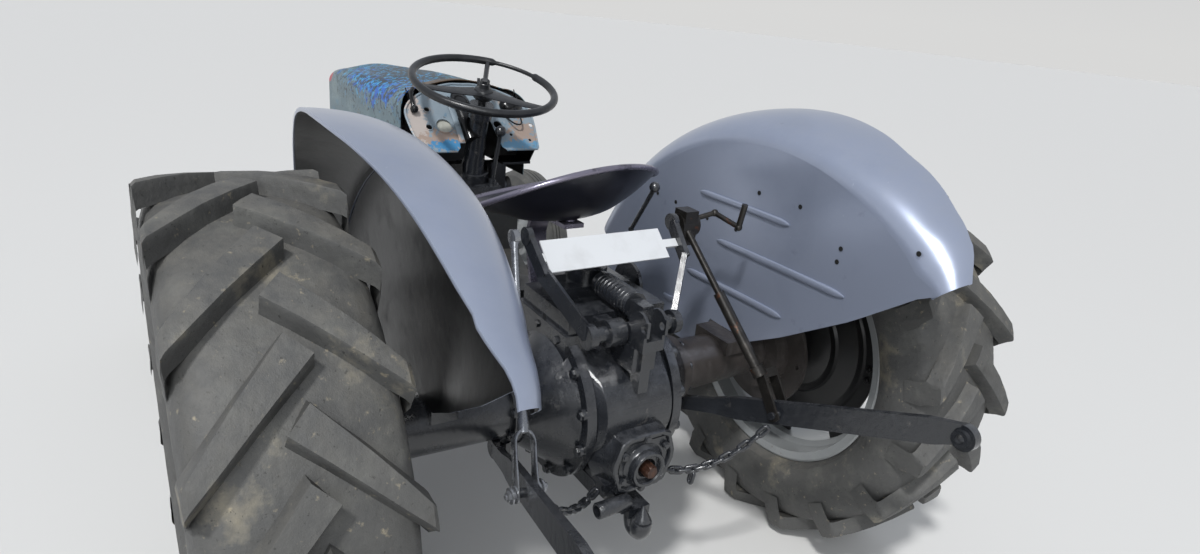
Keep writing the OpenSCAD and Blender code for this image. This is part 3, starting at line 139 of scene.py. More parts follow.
# each group: inputs, outputs, nodes by a short name, then what is joined to what
shaderGroups = {
    # a noise cut at a height that falls as the amount grows
    "blotch": (
        [("Scale", "Float", 8.0), ("Amount", "Float", 0.5), ("Softness", "Float", 0.1),
         ("Stretch", "Vector", (1, 1, 1))],
        [("Mask", "Float")],
        {"coord": ("TexCoord", {}), "mul": ("VectorMath", {"operation": "MULTIPLY"}),
         "tex": ("TexNoise", {"Detail": 7.0, "Roughness": 0.62}),
         "low": ("MapRange", {"To Min": 0.74, "To Max": 0.28}),
         "high": ("Math", {"operation": "ADD"}), "edge": ("MapRange", {})},
        "coord.Object>mul.0 in.Stretch>mul.1 mul.0>tex.Vector in.Scale>tex.Scale in.Amount>low.Value "
        "low.0>high.0 in.Softness>high.1 tex.Fac>edge.Value low.0>edge.From_Min high.0>edge.From_Max "
        "edge.0>out.Mask",
    ),
    # dust that lies on what faces up; on glossy black parts it also paints sky sheen on their tops
    "settledDustAndSheen": (
        [("Amount", "Float", 0.5), ("Scale", "Float", 20.0)],
        [("Mask", "Float")],
        {"geo": ("NewGeometry", {}), "split": ("SeparateXYZ", {}), "coord": ("TexCoord", {}),
         "tex": ("TexNoise", {"Detail": 6.0, "Roughness": 0.7}),
         "up": ("MapRange", {"From Min": 0.1, "From Max": 0.95}),
         "cut": ("MapRange", {"From Min": 0.38, "From Max": 0.68}),
         "both": ("Math", {"operation": "MULTIPLY"}),
         "share": ("Math", {"operation": "MULTIPLY"})},
        "geo.Normal>split.0 coord.Object>tex.Vector in.Scale>tex.Scale split.Z>up.Value tex.Fac>cut.Value "
        "up.0>both.0 cut.0>both.1 both.0>share.0 in.Amount>share.1 share.0>out.Mask",
    ),
    # coarse and fine bump of a casting or of painted sheet
    "castSkin": (
        [("Coarse", "Float", 30.0), ("Fine", "Float", 260.0), ("Strength", "Float", 0.2)],
        [("Normal", "Vector")],
        {"coord": ("TexCoord", {}), "one": ("TexNoise", {"Detail": 4.0}),
         "two": ("TexNoise", {"Detail": 3.0, "Roughness": 0.7}),
         "mix": ("Math", {"operation": "MULTIPLY_ADD", 1: 0.22}),
         "bump": ("Bump", {"Distance": 0.006})},
        "coord.Object>one.Vector coord.Object>two.Vector in.Coarse>one.Scale in.Fine>two.Scale "
        "two.Fac>mix.0 one.Fac>mix.2 in.Strength>bump.Strength mix.0>bump.Height bump.0>out.Normal",
    ),
    # one patch about a point, with a ragged edge
    "zone": (
        [("Centre", "Vector", (0, 0, 0)), ("Size", "Vector", (0.1, 0.1, 0.1)), ("Ragged", "Float", 0.6),
         ("Scale", "Float", 24.0)],
        [("Mask", "Float")],
        {"coord": ("TexCoord", {}), "gap": ("VectorMath", {"operation": "SUBTRACT"}),
         "share": ("VectorMath", {"operation": "DIVIDE"}), "reach": ("VectorMath", {"operation": "LENGTH"}),
         "tex": ("TexNoise", {"Detail": 7.0, "Roughness": 0.66}),
         "off": ("Math", {"operation": "SUBTRACT", 1: 0.5}),
         "bend": ("Math", {"operation": "MULTIPLY_ADD"}),
         "edge": ("MapRange", {"From Min": 1.06, "From Max": 0.94})},
        "coord.Object>gap.0 in.Centre>gap.1 gap.0>share.0 in.Size>share.1 share.0>reach.0 "
        "coord.Object>tex.Vector in.Scale>tex.Scale tex.Fac>off.0 off.0>bend.0 in.Ragged>bend.1 "
        "reach.Value>bend.2 bend.0>edge.Value edge.0>out.Mask",
    ),
}


def socket(group, name):
    return group[int(name)] if name.isdigit() else group[name.replace("_", " ")]


def newGroup(name, tree, prefix, inputs, outputs, members, joins):
    g = bpy.data.node_groups.new(name, tree)
    for way, sockets in (("INPUT", inputs), ("OUTPUT", outputs)):
        for label, kind, *value in sockets:
            s = g.interface.new_socket(name=label, in_out=way, socket_type="NodeSocket" + kind)
            if value:
                s.default_value = value[0]
    made = {"in": g.nodes.new("NodeGroupInput"), "out": g.nodes.new("NodeGroupOutput")}
    for key, (kind, values) in members.items():
        n = made[key] = g.nodes.new(kind if "Node" in kind else prefix + kind)
        for k, v in values.items():
            if isinstance(k, str) and hasattr(n, k):
                setattr(n, k, v)
            else:
                n.inputs[k].default_value = v
    for pair in joins.split():
        (a, b), (c, d) = (end.split(".") for end in pair.split(">"))
        g.links.new(socket(made[a].outputs, b), socket(made[c].inputs, d))
    return g


groups = {name: newGroup(name, "ShaderNodeTree", "ShaderNode", *row) for name, row in shaderGroups.items()}


def useGroup(tree, group, **values):
    n = tree.nodes.new("ShaderNodeGroup")
    n.node_tree = groups[group]
    for k, v in values.items():
        n.inputs[k].default_value = v
    return n.outputs[0]


def srgb(code):
    def lin(c):
        c /= 255
        return c / 12.92 if c <= 0.04045 else ((c + 0.055) / 1.055) ** 2.4
    return tuple(lin(int(code[i:i + 2], 16)) for i in (0, 2, 4)) + (1.0,)


def put(tree, value, target):
    if isinstance(value, (tuple, float)):
        target.default_value = value
    else:
        tree.links.new(value, target)


def mixColour(tree, fac, a, code):
    n = tree.nodes.new("ShaderNodeMix")
    n.data_type = "RGBA"
    tree.links.new(fac, n.inputs["Factor"])
    put(tree, a, n.inputs[6])
    put(tree, srgb(code), n.inputs[7])
    return n.outputs[2]


finishDefaults = {
    "base": "808080", "shade": None, "shadeScale": 5.0, "shadeAmount": 0.5, "shadeSoft": 0.3,
    "stretch": (1, 1, 1),
    "layers": [],  # each: colour, scale, amount, softness and, where it isn't even, stretch
    "zones": [],  # each: colour, centre, size, raggedness, scale
    "dustAndSheen": None, "dustAndSheenAmount": 0.0, "dustAndSheenScale": 18.0,
    "rough": (0.4, 0.6), "metal": 0.0, "coat": 0.0, "coatRough": 0.1, "specular": 0.5,
    "coarse": 30.0, "fine": 260.0, "bump": 0.1,
}


def finish(name, given):
    s = dict(finishDefaults, **given)
    mat = bpy.data.materials.new(name)
    mat.use_nodes = True
    tree = mat.node_tree
    bsdf = tree.nodes["Principled BSDF"].inputs
    colour = srgb(s["base"])
    layers = s["layers"]
    if s["shade"]:
        layers = [(s["shade"], s["shadeScale"], s["shadeAmount"], s["shadeSoft"], s["stretch"])] + layers
    for code, scale, amount, soft, *stretch in layers:
        mask = useGroup(tree, "blotch", Scale=scale, Amount=amount, Softness=soft,
                        Stretch=(stretch or [(1, 1, 1)])[0])
        colour = mixColour(tree, mask, colour, code)
    for code, centre, size, ragged, scale in s["zones"]:
        mask = useGroup(tree, "zone", Centre=centre, Size=size, Ragged=ragged, Scale=scale)
        colour = mixColour(tree, mask, colour, code)
    # lighter colour on up-facing faces: settled dust, and on oily black partly a painted sky reflection
    if s["dustAndSheen"]:
        mask = useGroup(tree, "settledDustAndSheen", Amount=s["dustAndSheenAmount"], Scale=s["dustAndSheenScale"])
        colour = mixColour(tree, mask, colour, s["dustAndSheen"])
    put(tree, colour, bsdf["Base Color"])
    put(tree, useGroup(tree, "castSkin", Coarse=s["coarse"], Fine=s["fine"], Strength=s["bump"]),
        bsdf["Normal"])
    span = tree.nodes.new("ShaderNodeMapRange")
    span.inputs["To Min"].default_value, span.inputs["To Max"].default_value = s["rough"]
    patch = useGroup(tree, "blotch", Scale=s["shadeScale"] * 1.7, Amount=0.5, Softness=0.35,
                     Stretch=s["stretch"])
    put(tree, patch, span.inputs["Value"])
    put(tree, span.outputs[0], bsdf["Roughness"])
    for key, label in (("metal", "Metallic"), ("coat", "Coat Weight"), ("coatRough", "Coat Roughness"),
                       ("specular", "Specular IOR Level")):
        put(tree, s[key], bsdf[label])
    return mat


finishSettings = {
    "fenderPaint": dict(base="959DB0", shade="808A9E", shadeScale=2.2, shadeSoft=0.4,
                        layers=[("6A7182", 9.0, 0.18, 0.16), ("B4BCCB", 60.0, 0.10, 0.1)],
                        dustAndSheen="A9A8A4", dustAndSheenAmount=0.10, rough=(0.30, 0.42), metal=0.5, coat=0.35,
                        coatRough=0.2,
                        coarse=5.0, fine=420.0, bump=0.035),
    # near-black inner faces of the fender and bonnet sheets: painted shade under and behind them, with dust
    # on top
    "shadedInside": dict(base="131314", shade="211F1D", shadeScale=6.0, dustAndSheen="4B453D", dustAndSheenAmount=0.3,
                         rough=(0.3, 0.5), bump=0.12),
    # oily black: the base lifted above black and the grey on up-facing faces are partly painted sky
    # reflection on the gloss, partly dust
    "oilyBlack": dict(base="1E2024", shade="33353A", shadeScale=11.0, shadeAmount=0.42,
                      layers=[("4A4846", 34.0, 0.22, 0.12)], dustAndSheen="5C5D60", dustAndSheenAmount=0.45, dustAndSheenScale=26.0,
                      rough=(0.22, 0.44), coat=0.5, coatRough=0.18, coarse=42.0, fine=330.0, bump=0.30),
    "trumpetIron": dict(base="332F2D", shade="4E4A48", shadeScale=9.0, stretch=(1, 3, 1),
                        layers=[("594A3B", 26.0, 0.2, 0.15, (1, 2, 1))], rough=(0.32, 0.55), coat=0.15,
                        coarse=40.0, bump=0.35),
    "wornSteel": dict(base="33312F", shade="4C4844", shadeScale=24.0, layers=[("6B4028", 38.0, 0.26, 0.12)],
                      rough=(0.3, 0.55), metal=0.7, coarse=60.0, bump=0.22),
    "rust": dict(base="5A3524", shade="7A4A2C", shadeScale=40.0, layers=[("2C1C15", 22.0, 0.3, 0.15)],
                 rough=(0.7, 0.9), coarse=80.0, bump=0.4),
    "castGrey": dict(base="2A2B2B", shade="3B3B39", shadeScale=8.0, layers=[("17181A", 16.0, 0.4, 0.2)],
                     dustAndSheen="57524A", dustAndSheenAmount=0.4, rough=(0.4, 0.65), bump=0.3),
    "runningGear": dict(base="1E1E1F", shade="34322F", shadeScale=12.0, layers=[("5A4433", 30.0, 0.18, 0.12)],
                        dustAndSheen="5B544A", dustAndSheenAmount=0.4, rough=(0.35, 0.6), bump=0.22),
    "rim": dict(base="9C9FA0", shade="7F8283", layers=[("6A5647", 22.0, 0.17, 0.12),
                                                       ("C3C6C7", 30.0, 0.2, 0.2)],
                rough=(0.35, 0.55), metal=0.45, coarse=12.0, bump=0.08),
    "discBlack": dict(base="141415", shade="222120", shadeScale=8.0, dustAndSheen="3B3833", dustAndSheenAmount=0.3,
                      rough=(0.32, 0.5), coarse=12.0),
    "tyreRubber": dict(base="484847", shade="5E5E5A", shadeScale=12.0,
                       layers=[("7C7565", 6.0, 0.34, 0.14), ("2B2B2A", 9.0, 0.26, 0.16),
                               ("968C76", 55.0, 0.24, 0.16), ("2A2A29", 130.0, 0.24, 0.06)],
                       dustAndSheen="77736A", dustAndSheenAmount=0.35, rough=(0.6, 0.85), coarse=38.0, fine=420.0, bump=0.5),
    "wheelRim": dict(base="1A1B1D", shade="2F3033", shadeScale=16.0, rough=(0.32, 0.5), coarse=60.0,
                     bump=0.12),
    "seatSteel": dict(base="15161F", shade="23242F", shadeScale=9.0, layers=[("3C3A46", 12.0, 0.12, 0.12)],
                      rough=(0.3, 0.42), coat=0.3, coatRough=0.22, coarse=8.0, bump=0.06),
    "seatRim": dict(base="7E7A88", shade="5C5866", shadeScale=14.0, layers=[("1F1D22", 20.0, 0.24, 0.12)],
                    rough=(0.22, 0.38), metal=0.65, coarse=20.0, bump=0.06),
    "paleFace": dict(base="A5A59C", shade="8B8A80", shadeScale=30.0, rough=(0.5, 0.7), bump=0.05),
    "plateWhite": dict(base="C6C8CA", shade="B9BABB", shadeScale=14.0, rough=(0.3, 0.42), coarse=6.0,
                       bump=0.03),
    "bonnetPaint": dict(base="586C74", shade="6F8084", shadeSoft=0.12, stretch=(0.4, 1, 1),
                        layers=[("3F6F88", 7.0, 0.30, 0.1, (0.5, 1, 1)),
                                ("5F5142", 12.0, 0.16, 0.08, (0.4, 1, 1.6)),
                                ("8A9698", 24.0, 0.16, 0.08, (0.5, 1, 1))],
                        zones=[("2F7E93", (0.72, 0.0, 1.25), (0.53, 0.235, 0.115), 1.0, 14.0),
                               ("4E9A8C", (0.70, 0.0, 1.26), (0.44, 0.17, 0.10), 3.2, 26.0),
                               ("1557AE", (0.62, 0.12, 1.23), (0.46, 0.12, 0.10), 3.0, 20.0),
                               ("2C8FC0", (0.66, 0.06, 1.25), (0.46, 0.16, 0.10), 5.0, 46.0),
                               ("22323C", (0.66, 0.04, 1.24), (0.50, 0.18, 0.10), 9.0, 55.0),
                               ("5C4A3A", (1.235, 0.0, 1.14), (0.05, 0.22, 0.075), 1.6, 22.0),
                               ("5C4A3A", (0.26, 0.0, 1.25), (0.055, 0.2, 0.06), 1.8, 26.0),
                               ("5F5040", (0.75, -0.17, 1.2), (0.6, 0.07, 0.07), 1.6, 18.0),
                               ("A24552", (1.20, 0.185, 1.125), (0.04, 0.03, 0.02), 0.9, 40.0)],
                        dustAndSheen="7C7A70", dustAndSheenAmount=0.15, rough=(0.45, 0.65), coarse=6.0, bump=0.08),
    "dashPaint": dict(base="7F8C95", shade="6C7C88", shadeScale=9.0,
                      layers=[("9C8A7C", 11.0, 0.36, 0.1), ("4C7389", 18.0, 0.28, 0.1),
                              ("C9C6C0", 26.0, 0.18, 0.1), ("3F3A37", 38.0, 0.22, 0.1)],
                      zones=[("A9A09A", (0.13, 0.185, 1.14), (0.13, 0.028, 0.12), 3.0, 60.0),
                             ("96857A", (0.085, 0.12, 1.095), (0.05, 0.07, 0.024), 4.0, 60.0),
                             ("3F7CA6", (0.068, 0.11, 1.078), (0.03, 0.055, 0.016), 4.0, 80.0),
                             ("5C87A4", (0.066, -0.13, 1.078), (0.03, 0.075, 0.015), 5.0, 80.0),
                             ("96857A", (0.10, -0.16, 1.11), (0.06, 0.05, 0.03), 5.0, 60.0)],
                      rough=(0.45, 0.6), coarse=14.0, bump=0.12),
    "rodSilver": dict(base="8E9094", shade="5E6065", shadeScale=30.0, layers=[("3A3836", 30.0, 0.3, 0.12)],
                      rough=(0.25, 0.42), metal=0.75, coarse=60.0, bump=0.12),
    "splineRust": dict(base="3B271E", shade="5A3A28", shadeScale=60.0, layers=[("1F1815", 40.0, 0.35, 0.12)],
                       rough=(0.4, 0.65), metal=0.3, coarse=90.0, bump=0.3),
    # black for the fender holes: painted shade seen through them
    "holeBlack": dict(base="050505", rough=(0.8, 0.9), bump=0.02),
    # near-black, also for the plates and boxes that paint the shade under the dash
    "gaugeBlack": dict(base="0B0B0C", rough=(0.2, 0.3), bump=0.02),
}
finishes = {name: finish(name, given) for name, given in finishSettings.items()}

nodeFinish = {
    "oilyBlack": "trumpet_left steering_box control_levers centre_housing hydraulic_cover lift_arms "
                 "top_rocker tow_hook "
                 "lower_link_left lower_link_right check_chain_left check_chain_right",
    "trumpetIron": "trumpet_right",
    "wornSteel": "lift_rod_left lift_rod_right",
    "rust": "manifold pto_shaft",
    "castGrey": "engine radiator gearbox",
    "runningGear": "knuckle_left knuckle_right front_axle drag_link_left drag_link_right drop_arm_left "
                   "drop_arm_right "
                   "footrests",
    "rim": "rear_wheel_left rear_wheel_right front_wheel_left front_wheel_right",
    "tyreRubber": "rear_tyre_left rear_tyre_right front_tyre_left front_tyre_right",
    "wheelRim": "steering_wheel",
    "seatSteel": "seat",
    "plateWhite": "rear_plate",
    "bonnetPaint": "bonnet",
    "dashPaint": "dash",
    "fenderPaint": "fender_left fender_right fender_panel_left fender_panel_right",
}
for key, names in nodeFinish.items():
    for n in names.split():
        nodes[n].data.materials.clear()
        nodes[n].data.materials.append(finishes[key])
print("nodes painted")


def circle(n):
    return [(math.cos(2 * math.pi * i / n), math.sin(2 * math.pi * i / n)) for i in range(n)]


def newObject(name, verts, faces):
    me = bpy.data.meshes.new(name)
    me.from_pydata([tuple(v) for v in verts], [], faces)
    me.validate()
    ob = bpy.data.objects.new(name, me)
    scene.collection.objects.link(ob)
    return ob


def join(parts):
    verts, faces = [], []
    for v, f in parts:
        faces += [tuple(i + len(verts) for i in face) for face in f]
        verts += list(v)
    return verts, faces


def settle(ob, key, body, smooth, hides, turn=True):
    me = ob.data
    if turn:
        bm = bmesh.new()
        bm.from_mesh(me)
        bmesh.ops.remove_doubles(bm, verts=bm.verts, dist=1e-6)
        bmesh.ops.recalc_face_normals(bm, faces=bm.faces)
        bm.to_mesh(me)
        bm.free()
    if key:
        me.materials.clear()
        me.materials.append(finishes[key])
    me.shade_smooth()
    me.set_sharp_from_angle(angle=math.radians(smooth))
    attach(ob, body)
    if hides:
        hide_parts(*hides)
    return ob


def piece(name, parts, key, body, smooth, hides):
    return settle(newObject(name, *join(parts)), key, body, smooth, hides)


def bake(ob):
    deps = bpy.context.evaluated_depsgraph_get()
    deps.update()
    me = bpy.data.meshes.new_from_object(ob.evaluated_get(deps))
    ob.modifiers.clear()
    old = ob.data
    ob.data = me
    bpy.data.meshes.remove(old)


def roughen(ob, size, amount, seed):
    off = Vector((seed * 3.1, seed * 1.7, seed * 0.9))
    for v in ob.data.vertices:
        v.co += noise.noise_vector((v.co + off) * size) * amount


def topFacesDown(bm):
    return max(bm.faces, key=lambda q: q.calc_center_median().z).normal.z < 0


def walled(name, mesh, wrong, thick, body, angle, hides, keys, merge=1e-6, offset=-1, uneven=()):
    # a sheet given its wall: the first finish outside, the last one inside
    ob = newObject(name, *mesh)
    me = ob.data
    bm = bmesh.new()
    bm.from_mesh(me)
    bmesh.ops.remove_doubles(bm, verts=bm.verts, dist=merge)
    bmesh.ops.recalc_face_normals(bm, faces=bm.faces)
    if wrong(bm):
        bmesh.ops.reverse_faces(bm, faces=bm.faces)
    bm.to_mesh(me)
    bm.free()
    for k in keys:
        me.materials.append(finishes[k])
    mod = ob.modifiers.new("wall", "SOLIDIFY")
    mod.thickness = thick
    mod.offset = offset
    mod.material_offset = len(keys) - 1
    bake(ob)
    if uneven:
        roughen(ob, *uneven)
    settle(ob, None, body, angle, hides, turn=False)


def loftMesh(rings, closed=True):
    n = len(rings[0])
    faces = [(k * n + i, k * n + (i + 1) % n, (k + 1) * n + (i + 1) % n, (k + 1) * n + i)
             for k in range(len(rings) - 1) for i in range(n if closed else n - 1)]
    if closed:
        faces += [tuple(range(n)), tuple((len(rings) - 1) * n + i for i in reversed(range(n)))]
    return [p for r in rings for p in r], faces


def ringMesh(rings):
    m, n = len(rings), len(rings[0])
    faces = [(k * n + i, k * n + (i + 1) % n, (k + 1) % m * n + (i + 1) % n, (k + 1) % m * n + i)
             for k in range(m) for i in range(n)]
    return [p for r in rings for p in r], faces


def revolveMesh(profile, centre, steps, axis="y"):
    return ringMesh([[centre + Vector((r * c, h, r * s) if axis == "y" else (h, r * c, r * s))
                      for r, h in profile]
                     for c, s in circle(steps)])


def tubeMesh(points, radius, sides, closed=False, squash=1.0):
    rings = []
    n = len(points)
    for i, p in enumerate(points):
        a = points[(i - 1) % n] if closed or i > 0 else p
        b = points[(i + 1) % n] if closed or i < n - 1 else p
        t = (b - a).normalized()
        side = t.cross(Vector((0, 0, 1)))
        if side.length < 1e-4:
            side = t.cross(Vector((0, 1, 0)))
        side.normalize()
        other = side.cross(t).normalized()
        r = radius[i] if isinstance(radius, list) else radius
        rings.append([p + r * (c * side + squash * s * other) for c, s in circle(sides)])
    return ringMesh(rings) if closed else loftMesh(rings)


def smoothPath(points, per=6):
    pts = [Vector(p) for p in points]
    out = []
    for i in range(len(pts) - 1):
        p0, p1, p2, p3 = pts[max(i - 1, 0)], pts[i], pts[i + 1], pts[min(i + 2, len(pts) - 1)]
        for k in range(per):
            t = k / per
            out.append(0.5 * ((2 * p1) + (p2 - p0) * t + (2 * p0 - 5 * p1 + 4 * p2 - p3) * t * t
                              + (3 * p1 - p0 - 3 * p2 + p3) * t ** 3))
    return out + [pts[-1]]


def boxMesh(lo, hi):
    (x0, y0, z0), (x1, y1, z1) = lo, hi
    v = [Vector(p + (z,)) for z in (z0, z1) for p in ((x0, y0), (x1, y0), (x1, y1), (x0, y1))]
    return v, [(0, 3, 2, 1), (4, 5, 6, 7), (0, 1, 5, 4), (1, 2, 6, 5), (2, 3, 7, 6), (3, 0, 4, 7)]


def boltMesh(centre, axis, r, h):
    a = Vector(axis).normalized()
    side = a.cross(Vector((0, 0, 1)) if abs(a.z) < 0.9 else Vector((1, 0, 0))).normalized()
    other = a.cross(side)

    def turned(rows, n):
        return loftMesh([[centre + a * up + rad * (c * side + s * other) for c, s in circle(n)]
                         for rad, up in rows])
    return join([turned([(r, h * 0.18), (r, h * 0.85), (r * 0.8, h)], 6),
                 turned([(r * 1.45, -0.002), (r * 1.45, h * 0.2), (r * 1.363, h * 0.26)], 20),
                 turned([(r * 0.5, h * 0.9), (r * 0.5, h * 1.35), (r * 0.4, h * 1.45)], 12)])


rearTyre = {
    "radius": 0.598, "lugHeight": 0.034, "width": 0.332, "lugs": 17,
    "rimRadius": 0.378, "rimHalf": 0.108, "bead": 0.3563,
    # turn and share of half the width: leading edge, then trailing edge, drop of the top
    "stations": [(0.0, -0.17, -4.1, 0.05, 0.0), (4.6, 0.125, 0.35, 0.285, 0.0), (9.2, 0.42, 4.8, 0.52, 0.0),
                 (13.7, 0.70, 9.5, 0.75, 0.0012), (17.6, 0.95, 13.7, 0.955, 0.003),
                 (18.5, 0.992, 14.5, 0.992, 0.008), (19.1, 1.0, 15.0, 1.0, 0.030),
                 (19.6, 1.0, 15.4, 1.0, 0.096)],
    "flank": 1.35, "segments": 136,
}


def tyreSection(t):
    h, rim, edge = t["width"] / 2, t["rimRadius"], t["rimHalf"]
    c = t["radius"] - t["lugHeight"]
    return [(t["bead"], edge - 0.001), (rim + 0.001, edge - 0.001), (rim + 0.006, edge + 0.006),
            (rim + 0.016, h * 0.83), (rim + 0.040, h * 0.92), (c * 0.80, h * 0.985), (c * 0.86, h * 0.985),
            (c * 0.92, h * 0.945), (c * 0.955, h * 0.90), (c * 0.978, h * 0.80), (c * 0.990, h * 0.62),
            (c * 0.997, h * 0.36), (c, 0.0)]


def lugRings(t, base, worn):
    half = t["width"] / 2
    rings = []
    for row in t["stations"]:
        lead, leadY, trail, trailY, drop = row
        top = t["radius"] - drop - worn
        foot = t["radius"] - t["lugHeight"] - drop * 0.55 - 0.010
        if row is t["stations"][-1]:
            foot, top = top - 0.012, top - 0.004
        flank = [(foot, t["flank"]), (foot + (top - foot) * 0.55, 0.42), (top - 0.004, 0.10), (top, -0.16)]
        points = [(r, lead + out, leadY * half - out * 0.0015) for r, out in flank]
        points.append((top + 0.0008, lead * 0.6 + trail * 0.4, (leadY * 0.6 + trailY * 0.4) * half))
        points += [(r, trail - out, trailY * half + out * 0.0015) for r, out in reversed(flank)]
        rings.append([(r, math.radians(base + turn), y) for r, turn, y in points])
    return rings


def rearTyreParts(t, sign, phase):
    centre = onAxle(sign * tractor["halfTrack"])
    half = tyreSection(t)
    parts = [revolveMesh(half + [(r, -y) for r, y in reversed(half[:-1])], centre, t["segments"])]
    rnd = random.Random(11)
    for s in (1, -1):
        for i in range(t["lugs"]):
            base = (i + (0.5 if s < 0 else 0)) * 360 / t["lugs"] + phase + rnd.uniform(-0.15, 0.15)
            parts.append(loftMesh([[centre + Vector((r * math.cos(a), s * y, r * math.sin(a)))
                                    for r, a, y in ring]
                                   for ring in lugRings(t, base, rnd.uniform(0, 0.0016))]))
    return parts


for side, sign, phase in (("left", 1, 5.4), ("right", -1, 3.0)):
    ob = piece("rearTyre_" + side, rearTyreParts(rearTyre, sign, phase), "tyreRubber",
               "rear_wheel_set_" + side, 32,
               ["rear_tyre_" + side])
    roughen(ob, 30, 0.0009, sign)
print("rear tyres made")


fender = {
    "centre": (-50, 462), "radius": 860, "rise": 92, "panelY": 470, "thick": 0.0035, "panelThick": 0.003,
    # turn about the centre, then how far out the edge stands
    "lip": [(22, 560), (45, 606), (75, 672), (92, 692), (108, 650), (120, 612), (129, 575), (134, 522),
            (138, 520)],
    "stations": 84, "section": 16, "columns": 110, "rows": 40,
    "left": {"sign": 1, "from": 22.0, "to": 136.5, "tuck": 26,
             "shift": [(22, 0), (112, 0), (128, 26), (136.5, 50)],
             "dents": [], "holeY": 469.2},
    "right": {"sign": -1, "from": 22.0, "to": 134.0, "tuck": 25, "shift": [(22, 0), (134, 0)],
              "dents": [(-330, 1290, 60, 5), (-520, 1200, 44, 4)], "holeY": 469.1},
    "ribs": [[(206, 1045), (30, 1049), (-152, 1051)], [(106, 925), (-130, 930), (-365, 933)],
             [(216, 792), (10, 798), (-184, 800)], [(313, 667), (280, 668), (250, 676)]],
    "ribHalf": 9.5, "ribRise": 4.6, "ribShift": -3.3,
    "frontAngle": 8.3, "frontEdge": [(700, 640), (640, 560)],
    "low": [(-560, 1010), (-397, 880), (-195, 744), (-84, 679), (84, 679), (130, 560), (660, 559)],
    "holes": [(-26, 1103), (-175, 1107), (-324, 1044), (-321, 1009), (-527, 1102), (163, 974), (38, 978),
              (316, 980), (411, 983)],
}
fenderKeys = ("fenderPaint", "shadedInside")


def lookup(x, table):
    if x <= table[0][0]:
        return table[0][1]
    for (a, u), (b, v) in zip(table, table[1:]):
        if x <= b:
            return u + (v - u) * (x - a) / (b - a)
    return table[-1][1]


def softLookup(x, table, half=5.0):
    return sum(lookup(x + d, table) for d in (-half, -half / 2, 0, half / 2, half)) / 5


def crownPoint(g, a, p):
    f = fender
    w = softLookup(a, f["lip"], 2.0 if a > 128 or a < 25 else 5.0) - f["panelY"]
    rise = min(f["rise"], w * 0.9)
    q = math.radians(p)
    r = f["radius"] - g["tuck"] * max(0, (a - 124) / 10) ** 2 - rise + rise * math.sin(q)
    y = f["panelY"] + softLookup(a, g["shift"]) + w * (1 - math.cos(q))
    return f["centre"][0] + r * math.cos(math.radians(a)), y, f["centre"][1] + r * math.sin(math.radians(a))


def panelY(g, a):
    return fender["panelY"] + softLookup(min(max(a, 22), 137), g["shift"])


def rayHit(centre, a, line):
    dx, dz = math.cos(math.radians(a)), math.sin(math.radians(a))
    hits = []
    for (x0, z0), (x1, z1) in zip(line, line[1:]):
        ex, ez = x1 - x0, z1 - z0
        px, pz = x0 - centre[0], z0 - centre[1]
        den = dx * ez - dz * ex
        if abs(den) > 1e-9:
            r, t = (px * ez - pz * ex) / den, (px * dz - pz * dx) / den
            if r > 0 and -1e-6 <= t <= 1 + 1e-6:
                hits.append(r)
    return min(hits, default=None)


def makeCrown(side):
    f, g = fender, fender[side]
    rings = []
    for k in range(f["stations"] + 1):
        a = g["from"] + (g["to"] - g["from"]) * k / f["stations"]
        dx, dz = math.cos(math.radians(a)), math.sin(math.radians(a))
        x, y, z = crownPoint(g, a, 0)
        ring = [(x - d * dx, y + up, z - d * dz) for d, up in ((16, 4.2), (3, 3.6))]
        for i in range(f["section"] + 1):
            x, y, z = crownPoint(g, a, 90 * i / f["section"])
            for px, pz, size, deep in g["dents"]:
                h = deep * math.exp(-((x - px) ** 2 + (z - pz) ** 2) / size ** 2)
                x, z = x - h * dx, z - h * dz
            ring.append((x, y, z))
        ring += [(x - d * dx, y + up, z - d * dz) for d, up in ((3, 1.2), (8, 0.4))]
        rings.append([at(x, g["sign"] * y, z) for x, y, z in ring])
    walled("fenderCrown_" + side, loftMesh(rings, closed=False), topFacesDown, f["thick"], "chassis", 40,
           ["fender_" + side], fenderKeys)


def makePanel(side):
    # the inner panel is a grid about the crown's centre
    f, g = fender, fender[side]
    c = f["centre"]
    tail, nose = (crownPoint(g, g[end], 0)[::2] for end in ("to", "from"))
    cols = []
    for k in range(f["columns"] + 1):
        a = f["frontAngle"] + (g["to"] - 0.05 - f["frontAngle"]) * k / f["columns"]
        if a >= g["from"]:
            x, y, z = crownPoint(g, a, 0)
            r1 = math.hypot(x - c[0], z - c[1]) + 0.5
        else:
            r1 = rayHit(c, a, [nose] + f["frontEdge"]) or 690
        r0 = min(rayHit(c, a, [tail] + f["low"]) or r1 - 1, r1 - 0.5)
        reach = [r1 + (r0 - r1) * i / f["rows"] for i in range(f["rows"] + 1)]
        cols.append([at(c[0] + r * math.cos(math.radians(a)), g["sign"] * panelY(g, a),
                        c[1] + r * math.sin(math.radians(a))) for r in reach])
    walled("fenderPanel_" + side, loftMesh(cols, closed=False),
           lambda bm: sum(q.normal.y * q.calc_area() for q in bm.faces) * g["sign"] > 0, f["panelThick"],
           "chassis", 60, ["fender_panel_" + side], fenderKeys)


